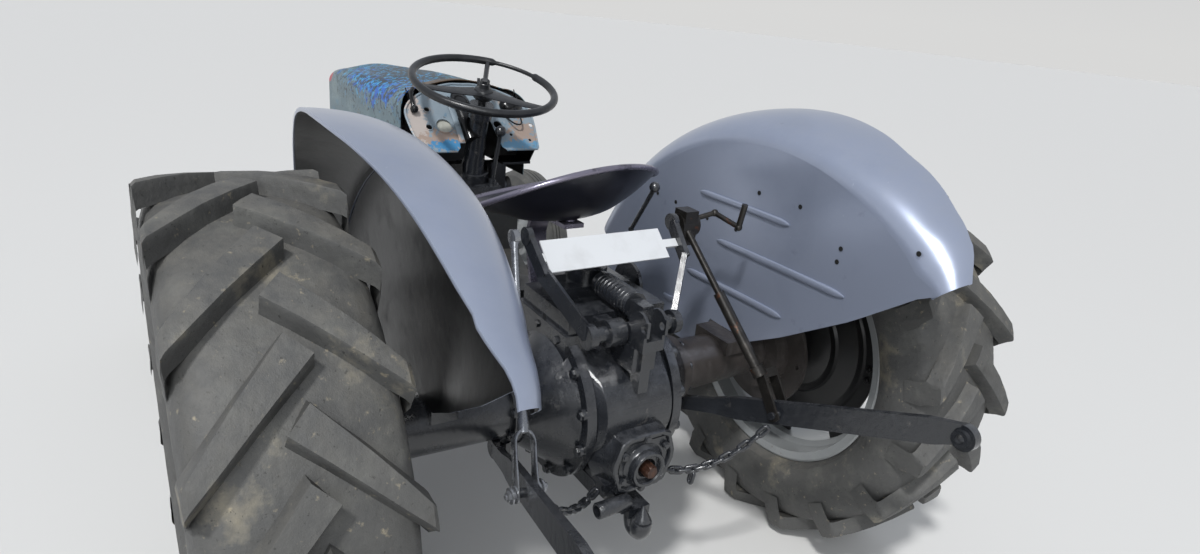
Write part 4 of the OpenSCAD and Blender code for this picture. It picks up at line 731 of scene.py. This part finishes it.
def makeRibs(side):
    f, g = fender, fender[side]
    c = f["centre"]
    ribs = []
    for line in f["ribs"]:
        path = smoothPath([(x, 0, z) for x, z in line], 8)
        last = len(path) - 1
        size = [f["ribRise"] * min(1.0, 0.25 + 0.55 * min(i, last - i)) / 1000 for i in range(last + 1)]
        turns = [math.degrees(math.atan2(p.z - c[1], p.x - c[0])) for p in path]
        points = [at(p.x, g["sign"] * (panelY(g, a) + f["ribShift"]), p.z) for p, a in zip(path, turns)]
        ribs.append(tubeMesh(points, size, 18, squash=f["ribHalf"] / f["ribRise"]))
    piece("fenderRibs_" + side, ribs, "fenderPaint", "chassis", 60, ())
    # black discs over the holes paint the shade seen through them
    spots = [loftMesh([[at(x, g["sign"] * g["holeY"], z) + Vector((r * u, -g["sign"] * h, r * v))
                        for u, v in circle(20)]
                       for r, h in ((0.0062, 0.0), (0.0062, 0.0006), (0.005, 0.0006))])
                       for x, z in f["holes"]]
    piece("fenderHoles_" + side, spots, "holeBlack", "chassis", 60, ())


for side, sign in sides:
    makeCrown(side)
    makePanel(side)
    makeRibs(side)
print("fenders made")


rearWheel = {
    "rim": 0.378, "width": 0.228, "lugs": 8, "hubBolts": 6,
    # radius, then how far in from the middle of the tyre
    "disc": [(0.036, 0.056), (0.060, 0.058), (0.090, 0.058), (0.100, 0.055), (0.150, 0.031), (0.156, 0.034),
             (0.166, 0.034), (0.172, 0.026), (0.232, 0.0065), (0.238, 0.0095), (0.248, 0.0095),
             (0.254, 0.004), (0.290, 0.004), (0.292, 0.006), (0.292, 0.011), (0.290, 0.013), (0.256, 0.013),
             (0.250, 0.0185), (0.236, 0.0185), (0.230, 0.0155), (0.174, 0.035), (0.168, 0.043),
             (0.154, 0.043), (0.148, 0.040), (0.100, 0.064), (0.090, 0.067), (0.036, 0.067)],
    "hub": [(0.034, 0.186), (0.034, 0.102), (0.070, 0.100), (0.078, 0.094), (0.078, 0.058), (0.046, 0.056),
            (0.046, 0.036), (0.040, 0.033), (0.026, 0.033), (0.026, 0.186)],
    # radius, place along the axle, half width
    "lug": [(0.250, -0.012, 0.038), (0.290, -0.012, 0.038), (0.324, -0.018, 0.042), (0.3335, -0.018, 0.042),
            (0.3335, -0.010, 0.042), (0.326, -0.010, 0.042), (0.292, -0.004, 0.038), (0.250, -0.004, 0.038)],
}


def rimMesh(r, h, centre):
    outer = [(r, h - 0.002), (r - 0.0055, h), (r - 0.0275, h - 0.0055), (r - 0.028, h - 0.010),
             (r - 0.034, h * 0.5), (r - 0.050, h * 0.4)]
    inner = [(r - 0.0215, h - 0.012), (r - 0.022, h - 0.014), (r - 0.028, h * 0.46), (r - 0.044, h * 0.36)]
    profile = outer + [(u, -y) for u, y in reversed(outer)] + [(u, -y) for u, y in inner] + inner[::-1]
    return revolveMesh(profile, centre, 128)


def discParts(w, c, s):
    parts = [revolveMesh([(r, -s * h) for r, h in w[key]], c, steps)
             for key, steps in (("disc", 128), ("hub", 64))]
    out = Vector((0, s, 0))
    for u, v in circle(w["lugs"]):
        d, t = Vector((u, 0, v)), Vector((-v, 0, u))
        parts.append(loftMesh([[c + d * r + out * y + t * (k * half) for r, y, half in w["lug"]]
                               for k in (-1, 1)]))
        for k in (-0.5, 0.5):
            parts.append(boltMesh(c + d * 0.272 - out * 0.012 + t * (k * 0.036), -out, 0.0095, 0.011))
        parts.append(boltMesh(c + d * 0.272 - out * 0.0035, out, 0.0095, 0.011))
    for i in range(w["hubBolts"]):
        a = math.radians(i * 360 / w["hubBolts"] + 15)
        d = Vector((math.cos(a), 0, math.sin(a)))
        parts.append(boltMesh(c + d * 0.066 - out * 0.057, out, 0.011, 0.013))
        parts.append(boltMesh(c + d * 0.060 - out * 0.099, -out, 0.009, 0.010))
    return parts


for side, sign in sides:
    centre, body = onAxle(sign * tractor["halfTrack"]), "rear_wheel_set_" + side
    piece("rearRim_" + side, [rimMesh(rearWheel["rim"], rearWheel["width"] / 2, centre)], "rim", body, 30,
          ["rear_wheel_" + side])
    piece("rearDisc_" + side, discParts(rearWheel, centre, sign), "discBlack", body, 30, ())
print("rear wheels made")


seat = {
    "centre": (222, 9, 994), "halfL": 178, "halfW": 266, "rings": 22, "steps": 96,
    "side": 80, "back": 96, "front": 38, "roll": 0.10, "lip": 0.0095,
    "spring": [(154, 992), (240, 990), (300, 985), (345, 945), (352, 890), (325, 800), (290, 712)],
}


def panPoint(t, a, lift):
    s, c = seat, math.cos(a)
    z = s["centre"][2] + lift + s["side"] * t ** 2.2 + s["back"] * t ** 2.4 * max(0, -c) ** 1.4
    z -= s["front"] * t * t * max(0, c) + s["roll"] * s["halfW"] * t * t * math.sin(a) * (0.5 + 0.5 * t)
    # two hollows for the thighs
    z -= 5 * math.exp(-((t * math.sin(a) * 2.2) ** 2 - 0.9) ** 2 * 2.5) * math.exp(-((t * c - 0.15) * 2) ** 2)
    return at(s["centre"][0] + s["halfL"] * t * c, s["halfW"] * t * math.sin(a), z)


def makeSeat():
    s = seat
    n = s["steps"]
    shares = [0.982 * k / s["rings"] for k in range(1, s["rings"] + 1)]
    verts = [panPoint(0, 0, 2.5)] + [panPoint(t, 2 * math.pi * j / n, 2.5) for t in shares for j in range(n)]
    faces = [(0, 1 + j, 1 + (j + 1) % n) for j in range(n)]
    faces += [(a + j, a + n + j, a + n + (j + 1) % n, a + (j + 1) % n)
              for a in range(1, n * (s["rings"] - 1), n) for j in range(n)]
    walled("seatPan", (verts, faces), lambda bm: next(iter(bm.faces)).normal.z < 0, 0.004, "chassis", 50,
           ["seat"],
           ("seatSteel",), offset=0)
    lip = tubeMesh([panPoint(1.0, 2 * math.pi * j / 120, 0) for j in range(120)], s["lip"], 16, closed=True,
                   squash=0.8)
    # bent flat spring
    spring = smoothPath([at(x, 0, z) for x, z in s["spring"]], 6)
    rings = []
    for i, p in enumerate(spring):
        t = (spring[min(i + 1, len(spring) - 1)] - spring[max(i - 1, 0)]).normalized()
        up = t.cross(Vector((0, 1, 0))).normalized()
        rings.append([p + Vector((0, v, 0)) + up * u
                      for v, u in ((-0.03, -0.006), (0.03, -0.006), (0.03, 0.006), (-0.03, 0.006))])
    foot = boxMesh(at(244, -30, 690), at(334, 30, 704))
    bolts = [boltMesh(at(x, 0, 1003), (0, 0, 1), 0.010, 0.008) for x in (180, 236)]
    piece("seatRim", [lip, loftMesh(rings), foot] + bolts, "seatRim", "chassis", 40, ())


makeSeat()
print("seat made")


steering = {
    "centre": (741, 0, 1268), "lean": 14, "radius": 219, "rim": 0.012, "steps": 120, "bare": (290, 328),
    # angle, half width at the hub and at the rim, half thickness
    "spokes": [(94, 34, 17, 4.5), (-146, 34, 17, 4.5), (-26, 8, 8, 7)],
}


def leanFrame(x, y, z, lean):
    a = math.radians(lean)
    up = Vector((-math.sin(a), 0, math.cos(a)))
    ahead = Vector((math.cos(a), 0, math.sin(a)))
    o = at(x, y, z)
    return lambda u, v, w: o + ahead * (u / 1000) + Vector((0, v / 1000, 0)) + up * (w / 1000)


def spokeMesh(f, deg, w0, w1, t):
    c, s = math.cos(math.radians(deg)), math.sin(math.radians(deg))
    rings = []
    for k in range(13):
        q = k / 12
        r, w, z = 20 + q * 192, w0 + (w1 - w0) * q, -24 + 22 * q ** 1.6
        lower = [(-w, -t * 0.3), (-w * 0.6, -t), (w * 0.6, -t), (w, -t * 0.3)]
        rings.append([f(c * r - s * a, s * r + c * a, z + h)
                      for a, h in lower + [(a, -h) for a, h in reversed(lower)]])
    return loftMesh(rings)


def makeSteering():
    s = steering
    f = leanFrame(*s["centre"], s["lean"])
    rim = [f(s["radius"] * u, s["radius"] * v, 0) for u, v in circle(s["steps"])]
    # the cover is gone from one stretch of the rim
    bare = [s["rim"] * (0.56 if s["bare"][0] <= 360 * i / s["steps"] <= s["bare"][1] else 1.0)
            for i in range(s["steps"])]
    parts = [tubeMesh(rim, bare, 20, closed=True)] + [spokeMesh(f, *row) for row in s["spokes"]]
    hub = [(25, -48), (30, -44), (33, -34), (33, -24), (28, -16), (18, -12), (17, -8), (17, 2), (15, 4)]
    for rows, n in ((hub, 48), ([(12, -130), (12, -46)], 48), ([(15, 3), (15, 13), (12, 16)], 6)):
        parts.append(loftMesh([[f(r * u, r * v, z) for u, v in circle(n)] for r, z in rows]))
    piece("steeringWheel", parts, "wheelRim", "steering_wheel_set", 35, ["steering_wheel"])


makeSteering()
print("steering wheel made")


bonnet = {
    # place along, half width, shoulder, top
    "sections": [(872, 222, 1170, 1254), (1300, 212, 1144, 1236), (1800, 192, 1118, 1194),
                 (1896, 184, 1106, 1176), (1936, 156, 1040, 1104)],
    "along": [872, 890, 910, 934, 960, 1000, 1060, 1130, 1210, 1300, 1400, 1500, 1600, 1700, 1760, 1800, 1840,
              1870,
              1888, 1896, 1910, 1926, 1936],
    "floor": 938, "arc": 26, "thick": 0.0025, "rake": 47.5, "dashTop": (934, 1255), "slopeEnd": 960,
    "noseFloor": 655, "bars": 14,
}


def bonnetHalf(x):
    b = bonnet
    w, sh, top = (lookup(x, [(q[0], q[i]) for q in b["sections"]]) for i in (1, 2, 3))
    half = []
    for k in range(16):
        z = b["floor"] + (sh - 4 - b["floor"]) * k / 15
        # pressed crease along the side
        dent = 3.0 * math.exp(-((z - 1109 + 49 * (x - 937) / 1000) / 9) ** 2) if 900 < x < 1880 else 0
        half.append((w - dent, z))
    for i in range(b["arc"] + 1):
        a = math.radians(90 * i / b["arc"])
        half.append((w * (1 - 0.34 * (1 - math.cos(a))), sh + (top - sh) * 0.72 * math.sin(a)))
    y0, z0 = half[-1]
    return half + [(y0 * (1 - k / 8), z0 + (top - z0) * math.sin(k / 8 * math.pi / 2)) for k in range(1, 9)]


def bonnetPlace(x, z):
    # the rear edge follows the sloping dash
    b = bonnet
    first, end = b["along"][0], b["slopeEnd"]
    if x >= end:
        return x
    edge = max(b["dashTop"][0] - (b["dashTop"][1] - z) / math.tan(math.radians(b["rake"])), first)
    return edge + (end - edge) * (x - first) / (end - first)


def prismMesh(outline, ends):
    return loftMesh([[at(x, y, z) for x, y in outline] for z in ends])


def makeBonnet():
    b = bonnet
    rings = []
    for x in b["along"]:
        ring = [at(bonnetPlace(x, z), y, z) for y, z in bonnetHalf(x)]
        rings.append(ring + [Vector((p.x, -p.y, p.z)) for p in reversed(ring[:-1])])
    walled("bonnetShell", loftMesh(rings, closed=False), topFacesDown, b["thick"], "bonnet_lid", 35,
           ["bonnet"],
           ("bonnetPaint", "shadedInside"), merge=1e-5, uneven=(4.2, 0.0022, 5))
    # nose: frame, bars and hinge ears
    low = b["noseFloor"]
    parts = []
    for s in (-1, 1):
        parts.append(prismMesh([(1822, s * 191), (1936, s * 156), (1936, s * 118), (1930, s * 118),
                                (1930, s * 148),
                                (1822, s * 187)], (low, 985)))
        parts.append(loftMesh([[at(x, s * y, z)
                                for x, z in ((1836, 600), (1876, 600), (1886, 665), (1836, 665))]
                               for y in (116, 100)]))
    parts.append(boxMesh(at(1822, -189, low), at(1900, 189, low + 6)))
    parts.append(boxMesh(at(1900, -150, low), at(1934, 150, low + 35)))
    for k in range(b["bars"]):
        y = -112 + k * 224 / (b["bars"] - 1)
        parts.append(prismMesh([(1924, y - 3), (1933, y - 3), (1933, y + 3), (1924, y + 3)], (678, 1050)))
    parts.append(boxMesh(at(1930, -119, 838), at(1936, 119, 850)))
    piece("bonnetNose", parts, "bonnetPaint", "bonnet_lid", 35, ())


makeBonnet()
print("bonnet made")


# the same kind of table, for what grows from a modifier
geometryGroups = {
    # a wire wound round the local Z axis
    "coilSpring": (
        [("Geometry", "Geometry"), ("Turns", "Float", 9.0), ("Radius", "Float", 0.026),
         ("Length", "Float", 0.13),
         ("Wire", "Float", 0.005), ("Finish", "Material")],
        [("Geometry", "Geometry")],
        {"coil": ("CurveSpiral", {"Resolution": 40, "Reverse": False}),
         "wire": ("CurvePrimitiveCircle", {"Resolution": 14}), "tube": ("CurveToMesh", {"Fill Caps": True}),
         "real": ("RealizeInstances", {}), "paint": ("SetMaterial", {})},
        "in.Turns>coil.Rotations in.Radius>coil.Start_Radius in.Radius>coil.End_Radius "
        "in.Length>coil.Height in.Wire>wire.Radius coil.0>tube.Curve wire.0>tube.Profile_Curve "
        "tube.0>real.0 real.0>paint.Geometry in.Finish>paint.Material paint.0>out.0",
    ),
    # hexagon heads on washers, spaced round a circle in the local XY plane
    "boltRing": (
        [("Geometry", "Geometry"), ("Count", "Int", 12), ("Radius", "Float", 0.2), ("Size", "Float", 0.009),
         ("Height", "Float", 0.01), ("Seed", "Int", 3), ("Finish", "Material")],
        [("Geometry", "Geometry")],
        {"circle": ("MeshCircle", {}), "head": ("MeshCylinder", {"Vertices": 6}),
         "washer": ("MeshCylinder", {"Vertices": 20}),
         "wide": ("ShaderNodeMath", {"operation": "MULTIPLY", 1: 1.4}),
         "thin": ("ShaderNodeMath", {"operation": "MULTIPLY", 1: 0.55}), "both": ("JoinGeometry", {}),
         "turn": ("FunctionNodeRandomValue", {"data_type": "FLOAT_VECTOR", "Max": (0, 0, 1.05)}),
         "spread": ("InstanceOnPoints", {}), "real": ("RealizeInstances", {}), "paint": ("SetMaterial", {})},
        "in.Count>circle.Vertices in.Radius>circle.Radius in.Size>head.Radius in.Height>head.Depth "
        "in.Size>wide.0 in.Height>thin.0 wide.0>washer.Radius thin.0>washer.Depth head.0>both.0 "
        "washer.0>both.0 in.Seed>turn.Seed circle.0>spread.Points both.0>spread.Instance "
        "turn.0>spread.Rotation spread.0>real.0 real.0>paint.Geometry in.Finish>paint.Material "
        "paint.0>out.0",
    ),
}
for name, row in geometryGroups.items():
    groups[name] = newGroup(name, "GeometryNodeTree", "GeometryNode", *row)


def grown(name, group, place, axis, slot, smooth, turn, **values):
    ob = newObject(name, (), ())
    mod = ob.modifiers.new("grow", "NODES")
    mod.node_group = groups[group]
    byName = {s.name: s.identifier for s in groups[group].interface.items_tree if s.in_out == "INPUT"}
    for k, v in dict(values, Finish=finishes["oilyBlack"]).items():
        mod[byName[k]] = v
    ob.update_tag()
    bpy.context.view_layer.update()
    bake(ob)
    aim = Vector(axis).to_track_quat("Z", "Y").to_matrix().to_4x4()
    ob.data.transform(Matrix.Translation(place) @ aim @ Matrix.Rotation(turn, 4, "Z"))
    settle(ob, "oilyBlack", "chassis", smooth, ())


dash = {
    "low": (733, 1062), "rake": 47.5, "thick": 0.0022,
    # right half of the outline: across, then up the slope; the first seven are joined by a curve
    "outline": [(0, 262), (40, 262), (90, 250), (150, 222), (194, 190), (216, 150), (214, 90), (200, 6),
                (196, 0), (86, 0), (72, 14), (60, 118), (40, 134), (0, 140)],
    "curved": 7, "edgeEnd": 34,
    # across, up, radius; the first four have a ring
    "holes": [(104, 97, 25), (145, 160, 9), (154, 93, 10), (-81, 99, 15), (-203, 97, 7), (-180, 37, 5),
              (-118, 60, 5), (60, 205, 8)],
    "ringed": 4,
}
dashOut = Vector((-0.676, 0, 0.737))


def dashFrame():
    r = math.radians(dash["rake"])
    o = at(dash["low"][0], 0, dash["low"][1])
    up = Vector((math.sin(r), 0, math.cos(r)))
    out = Vector((-math.cos(r), 0, math.sin(r)))
    return lambda y, h, d=0.0: o + Vector((0, y / 1000, 0)) + up * (h / 1000) + out * (d / 1000)


def dashSheet(f, loop):
    bm = bmesh.new()
    edges = []
    holes = [[(y + r * c, h + r * s) for c, s in circle(36)] for y, h, r in dash["holes"]]
    for points in [loop] + holes:
        vs = [bm.verts.new(f(a, b)) for a, b in points]
        edges += [bm.edges.new((v, vs[(i + 1) % len(vs)])) for i, v in enumerate(vs)]
    bmesh.ops.triangle_fill(bm, use_beauty=True, use_dissolve=False, edges=edges)
    bm.verts.index_update()
    mesh = [v.co.copy() for v in bm.verts], [tuple(v.index for v in q.verts) for q in bm.faces]
    bm.free()
    walled("dashPanelSheet", mesh, lambda b: sum(q.normal.x * q.calc_area() for q in b.faces) > 0,
           dash["thick"],
           "chassis", 30, ["dash"], ("dashPaint", "gaugeBlack"))


def dashTrim(f, loop):
    turned = loop[:dash["edgeEnd"]]
    parts = [tubeMesh([f(-a, b, 1) for a, b in reversed(turned)] + [f(a, b, 1) for a, b in turned[1:]], 0.004,
                      10)]
    for y, h, r in dash["holes"][:dash["ringed"]]:
        points = [f(y + (r + 1.5) * c, h + (r + 1.5) * s, 1) for c, s in circle(40)]
        parts.append(tubeMesh(points, 0.0022, 8, closed=True))
    piece("dashEdge", parts, "dashPaint", "chassis", 35, ())
    section = [(-9, -2), (9, -2), (9, 1.5), (4, 3.5), (-4, 3.5), (-9, 1.5)]
    strip = [[p + Vector((0, a / 1000, 0)) + dashOut * (b / 1000) for a, b in section]
             for p in smoothPath([f(62, 28, 4), f(62, 100, 6), f(64, 172, 5)], 6)]
    bolts = [boltMesh(f(62, h, 7), dashOut, 0.0055, 0.005) for h in (34, 96, 165)]
    piece("dashStrip", [loftMesh(strip)] + bolts, "dashPaint", "chassis", 35, ())


def dashDark(f):
    parts = []
    # brackets behind the panel, and near-black plates and boxes below it that paint the shade under the dash
    for s in (1, -1):
        y = 190 * s
        cheek = [f(y, 4, -4), f(y, 250, -4), at(868, y, 1120), at(868, y, 1010), at(775, y, 1010)]
        parts.append(loftMesh([[p + Vector((0, k * 0.0015, 0)) for p in cheek] for k in (-1, 1)]))
        parts.append(boxMesh(at(770, s * 141 - 51, 1004), at(866, s * 141 + 51, 1012)))
        parts.append(boxMesh(at(790, s * 78 - 34, 868), at(830, s * 78 + 34, 1008)))
    handle = smoothPath([f(172, 236, 6), f(186, 210, 14), f(190, 180, 16), f(190, 158, 14)], 6)
    parts.append(tubeMesh(handle, [0.008] * 6 + [0.0065] * (len(handle) - 6), 14))
    knob = f(190, 152, 14)
    rows = ((0.012, 0.004), (0.009, 0.010), (0, 0.013), (-0.009, 0.010), (-0.012, 0.004))
    parts.append(tubeMesh([knob + Vector((0, 0, up)) for up, r in rows], [r for up, r in rows], 18))
    # domed cap right of the column
    dome = ((40, 2), (40, 9), (36, 18), (28, 24), (16, 28), (5, 29))
    parts.append(loftMesh([[f(-150 + r * c, 172 + r * 0.8 * s, d) for c, s in circle(48)] for r, d in dome]))
    wire = smoothPath([f(-120, 128, 4), f(-128, 96, 18), f(-142, 84, 22), f(-160, 92, 18), f(-172, 132, 5)],
                      8)
    parts.append(tubeMesh(wire, 0.0028, 8))
    column = smoothPath([f(22, 236, -18), f(24, 180, 8), f(22, 120, 10), f(16, 40, 6)], 6)
    parts.append(tubeMesh(column, 0.030, 20, squash=0.55))
    piece("dashBlack", parts, "gaugeBlack", "chassis", 40, ())


def makeDash():
    f = dashFrame()
    n = dash["curved"]
    edge = [(p.x, p.y) for p in smoothPath([(a, b, 0) for a, b in dash["outline"][:n]],
                                           5)] + dash["outline"][n:]
    loop = edge + [(-a, b) for a, b in reversed(edge[1:-1])]
    dashSheet(f, loop)
    dashTrim(f, loop)
    dashDark(f)
    y, h, r = dash["holes"][0]
    face = loftMesh([[f(y + q * c, h + q * s, d) for c, s in circle(40)]
                     for q, d in ((r + 1, -5), (r + 1, -12), (20, -14), (4, -14))])
    piece("gaugeFace", [face], "paleFace", "chassis", 30, ())


makeDash()
print("dash made")


spring = {"start": (-140, 0, 891), "length": 0.132, "turns": 9.2, "radius": 0.0265, "wire": 0.0062}
grown("controlSpring", "coilSpring", at(*spring["start"]), (1, 0, 0), "oily_black", 60, 0.0,
      Turns=spring["turns"],
      Radius=spring["radius"], Length=spring["length"], Wire=spring["wire"])
# along the axle, slot, turn, count, radius, size, height, seed
axleBolts = {
    "housingBolts": (141, "oily_black", 0.2618, 12, 0.191, 0.0105, 0.030, 4),
    "bellBolts": (270, "trumpet_iron", 0.3, 8, 0.082, 0.0085, 0.012, 7),
    "plateBolts": (634, "trumpet_iron", 0.2, 6, 0.112, 0.009, 0.014, 9),
}
for side, sign in sides:
    for name, (y, slot, turn, count, radius, size, height, seed) in axleBolts.items():
        grown(name + "_" + side, "boltRing", onAxle(sign * y), (0, sign, 0), slot, 30, turn,
              Count=count, Radius=radius, Size=size, Height=height, Seed=seed)
grown("ptoBolts", "boltRing", at(-258, 0, 518), (-1, 0, 0), "oily_black", 30, 0.52, Count=6, Radius=0.070,
      Size=0.007,
      Height=0.012, Seed=2)
grown("coverBolts", "boltRing", at(78, 0, 917), (0, 0, 1), "oily_black", 30, 0.2, Count=6, Radius=0.044,
      Size=0.0075,
      Height=0.010, Seed=5)


rodFoot = (-329.6, 365.0, 607.1)
chain = {"start": (-219, 114, 440), "end": (rodFoot[0] + 4, rodFoot[1] - 44, rodFoot[2] - 44), "spans": 11,
         "sag": 150, "length": 0.044, "width": 0.024, "wire": 0.0052}


def linkMesh(p, d, roll):
    wire = chain["wire"]
    t = d.normalized()
    side = t.cross(Vector((0, 0, 1))).normalized()
    a = side * math.cos(roll) + side.cross(t) * math.sin(roll)
    r, h = chain["width"] / 2 - wire, (chain["length"] - chain["width"]) / 2
    turns = [(end, math.pi * i / 11 - end * math.pi / 2) for end in (1, -1) for i in range(12)]
    points = [p + t * (end * h + r * math.cos(q)) + a * (r * math.sin(q)) for end, q in turns]
    n = (points[1] - points[0]).cross(points[6] - points[0]).normalized()
    rings = []
    for i, q in enumerate(points):
        s = (points[(i + 1) % len(points)] - points[i - 1]).normalized().cross(n).normalized()
        rings.append([q + wire * (u * s + v * n) for u, v in circle(10)])
    return ringMesh(rings)


def makeChain(side, s):
    start, end = Vector(chain["start"]), Vector(chain["end"])

    def along(t, down=0.0):
        p = start * (1 - t) + end * t
        return at(p.x, s * p.y, p.z - chain["sag"] * t * (1 - t) - down)
    parts = []
    for i in range(chain["spans"] + 1):
        t = i / chain["spans"]
        parts.append(linkMesh(along(t), along(t + 0.01) - along(t), (i % 2) * math.pi / 2 + 0.35))
    if side == "right":
        # a spare link hangs from the middle of this one
        parts.append(linkMesh(along(0.28, 26), Vector((0.05, 0.1, -1)), 0.4))
    piece("chain_" + side, parts, "oilyBlack", "check_chain_set_" + side, 60, ["check_chain_" + side])


for side, sign in sides:
    makeChain(side, sign)
print("spring, bolts and chains made")


pto = {
    "z": 512, "face": -252, "shaft": 17.5, "end": -292, "start": -150, "splines": 6,
    "cap": [(64, 83), (88, 10), (62, -62), (-62, -62), (-88, 10), (-64, 83)],
    # growth of the outline, place along
    "steps": [(30, -176), (8, -214), (4, -240), (6, -246), (6, -256), (3, -259), (-6, -259), (-9, -256),
              (-10, -250)],
    "seal": [(0.060, 0.010), (0.058, -0.002), (0.050, -0.006), (0.0475, -0.010), (0.0475, -0.024),
             (0.0455, -0.028), (0.039, -0.028), (0.036, -0.025), (0.036, 0.020), (0.050, 0.020)],
}


def capRing(grow, x):
    points, ring = pto["cap"], []
    for i, (y, z) in enumerate(points):
        a, b = points[i - 1], points[(i + 1) % len(points)]
        n = math.hypot(y, z - 10)
        for t in (0, 0.25, 0.5, 0.75, 1):
            u, v = (0.14 * ((a[k] - c) * (1 - t) + (b[k] - c) * t) for k, c in enumerate((y, z)))
            ring.append(at(x, y + u + grow * y / n, pto["z"] + z + v + grow * (z - 10) / n))
    return ring


def makePto():
    p = pto
    seal = revolveMesh(p["seal"], at(p["face"], 0, p["z"]), 64, "x")
    piece("ptoCap", [loftMesh([capRing(*row) for row in p["steps"]]), seal], "oilyBlack", "chassis", 40, ())
    rings = []
    for x, most in ((p["end"], 0.70), (p["end"], 0.84), (p["end"] + 5, 1.0), (-226, 1.0), (-224, 0.82),
                    (-218, 0.82),
                    (-216, 1.0), (p["start"], 1.0)):
        ring = []
        for i, (c, s) in enumerate(circle(12 * p["splines"])):
            r = p["shaft"] * min(most, 1.0 if i % 12 < 6.48 else 0.80)
            ring.append(at(x, r * c, p["z"] + r * s))
        rings.append(ring)
    piece("ptoSplines", [loftMesh(rings)], "splineRust", "pto_set", 25, ["pto_shaft"])


hook = {
    "path": [(-214, 18, 392), (-240, 23, 398), (-256, 25, 390), (-261, 25, 368), (-267, 22, 350),
             (-281, 18, 346), (-293, 16, 356), (-297, 16, 378), (-296, 16, 402), (-295, 16, 424)],
    "size": [17, 17, 16, 16, 18, 22, 27, 26, 15, 2.5],
    "pipe": [(13, 68), (13, 133), (18, 134), (20, 132), (20, 46), (18, 44), (10, 44)],
    "pads": [((-276, -20, 380), (-80, 42, 403.7)), ((-190, -60, 386), (-80, 60, 403.7)),
             ((-270, 48, 396), (-204, 60, 426)), ((-264, 36, 392), (-204, 54, 408))],
}


def makeHook():
    size = [v.x / 1000 for v in smoothPath([(v, 0, 0) for v in hook["size"]], 6)]
    parts = [tubeMesh(smoothPath([at(*q) for q in hook["path"]], 6), size, 28)]
    # pipe across the pad, open at its left end
    parts.append(loftMesh([[at(-268 + r * c, y, 430 + r * s) for c, s in circle(40)]
                           for r, y in hook["pipe"]]))
    parts += [boxMesh(at(*lo), at(*hi)) for lo, hi in hook["pads"]]
    parts.append(tubeMesh([at(-144, 0, z) for z in (300, 304, 388)], [0.015, 0.018, 0.018], 28))
    piece("towHook", parts, "oilyBlack", "chassis", 50, ["tow_hook"])


rod = {"head": (15.0, 246.0, 1030.1), "gap": 22.0, "leg": 96, "shank": 8.0}


def makeLeftRod():
    # a slender rod whose lower end spreads into a U of flat bar
    foot, head = at(*rodFoot), at(*rod["head"])
    up = (head - foot).normalized()
    deep = Vector((0, 1, 0)).cross(up).normalized()
    across = up.cross(deep).normalized()
    if across.y < 0:
        across, deep = -across, -deep
    g, leg, shank = rod["gap"], rod["leg"], rod["shank"]

    def spot(a, b):
        return foot + up * (b / 1000) + across * (a / 1000)
    side = [(g, -15), (g, 0), (g, 20), (g, leg * 0.6), (g, leg)]
    bow = [(-g * math.cos(math.pi * k / 12), leg + g * 1.25 * math.sin(math.pi * k / 12))
           for k in range(1, 12)]
    path = [spot(a, b) for a, b in [(-a, b) for a, b in side] + bow + side[::-1]]
    rings = []
    last = len(path) - 1
    for i, p in enumerate(path):
        n = (path[min(i + 1, last)] - path[max(i - 1, 0)]).normalized().cross(deep).normalized()
        w = {0: 0.009, 1: 0.015, 2: 0.015}.get(min(i, last - i), 0.011)
        flat = [(-1, -0.5), (-0.85, -1), (0.85, -1), (1, -0.5), (1, 0.5), (0.85, 1), (-0.85, 1), (-1, 0.5)]
        rings.append([p + deep * (w * c) + n * (0.0032 * h) for c, h in flat])
    span = (head - foot).length * 1000
    bar = [(leg + 22, 13), (leg + 32, 13.5), (leg + 48, 12), (leg + 76, shank), (span * 0.6, shank),
           (span - 26, shank + 1), (span - 14, 13)]
    eye = [[head + Vector((0.001 * r * c, y, 0.001 * r * s)) for c, s in circle(36)]
           for y, r in ((-0.008, 17), (-0.007, 19.5), (0.007, 19.5), (0.008, 17))]
    parts = [loftMesh(rings), tubeMesh([spot(0, b) for b, r in bar], [r / 1000 for b, r in bar], 20),
             loftMesh(eye)]
    for s in (1, -1):
        for place, r in ((0.0255, 0.013), (0.0355, 0.012)):
            parts.append(boltMesh(foot + Vector((0, s * place, 0)), (0, s, 0), r, 0.009))
    piece("liftRod_left", parts, "rodSilver", "lift_rod_set_left", 40, ["lift_rod_left"])


makePto()
makeHook()
makeLeftRod()
print("take-off and hook made")
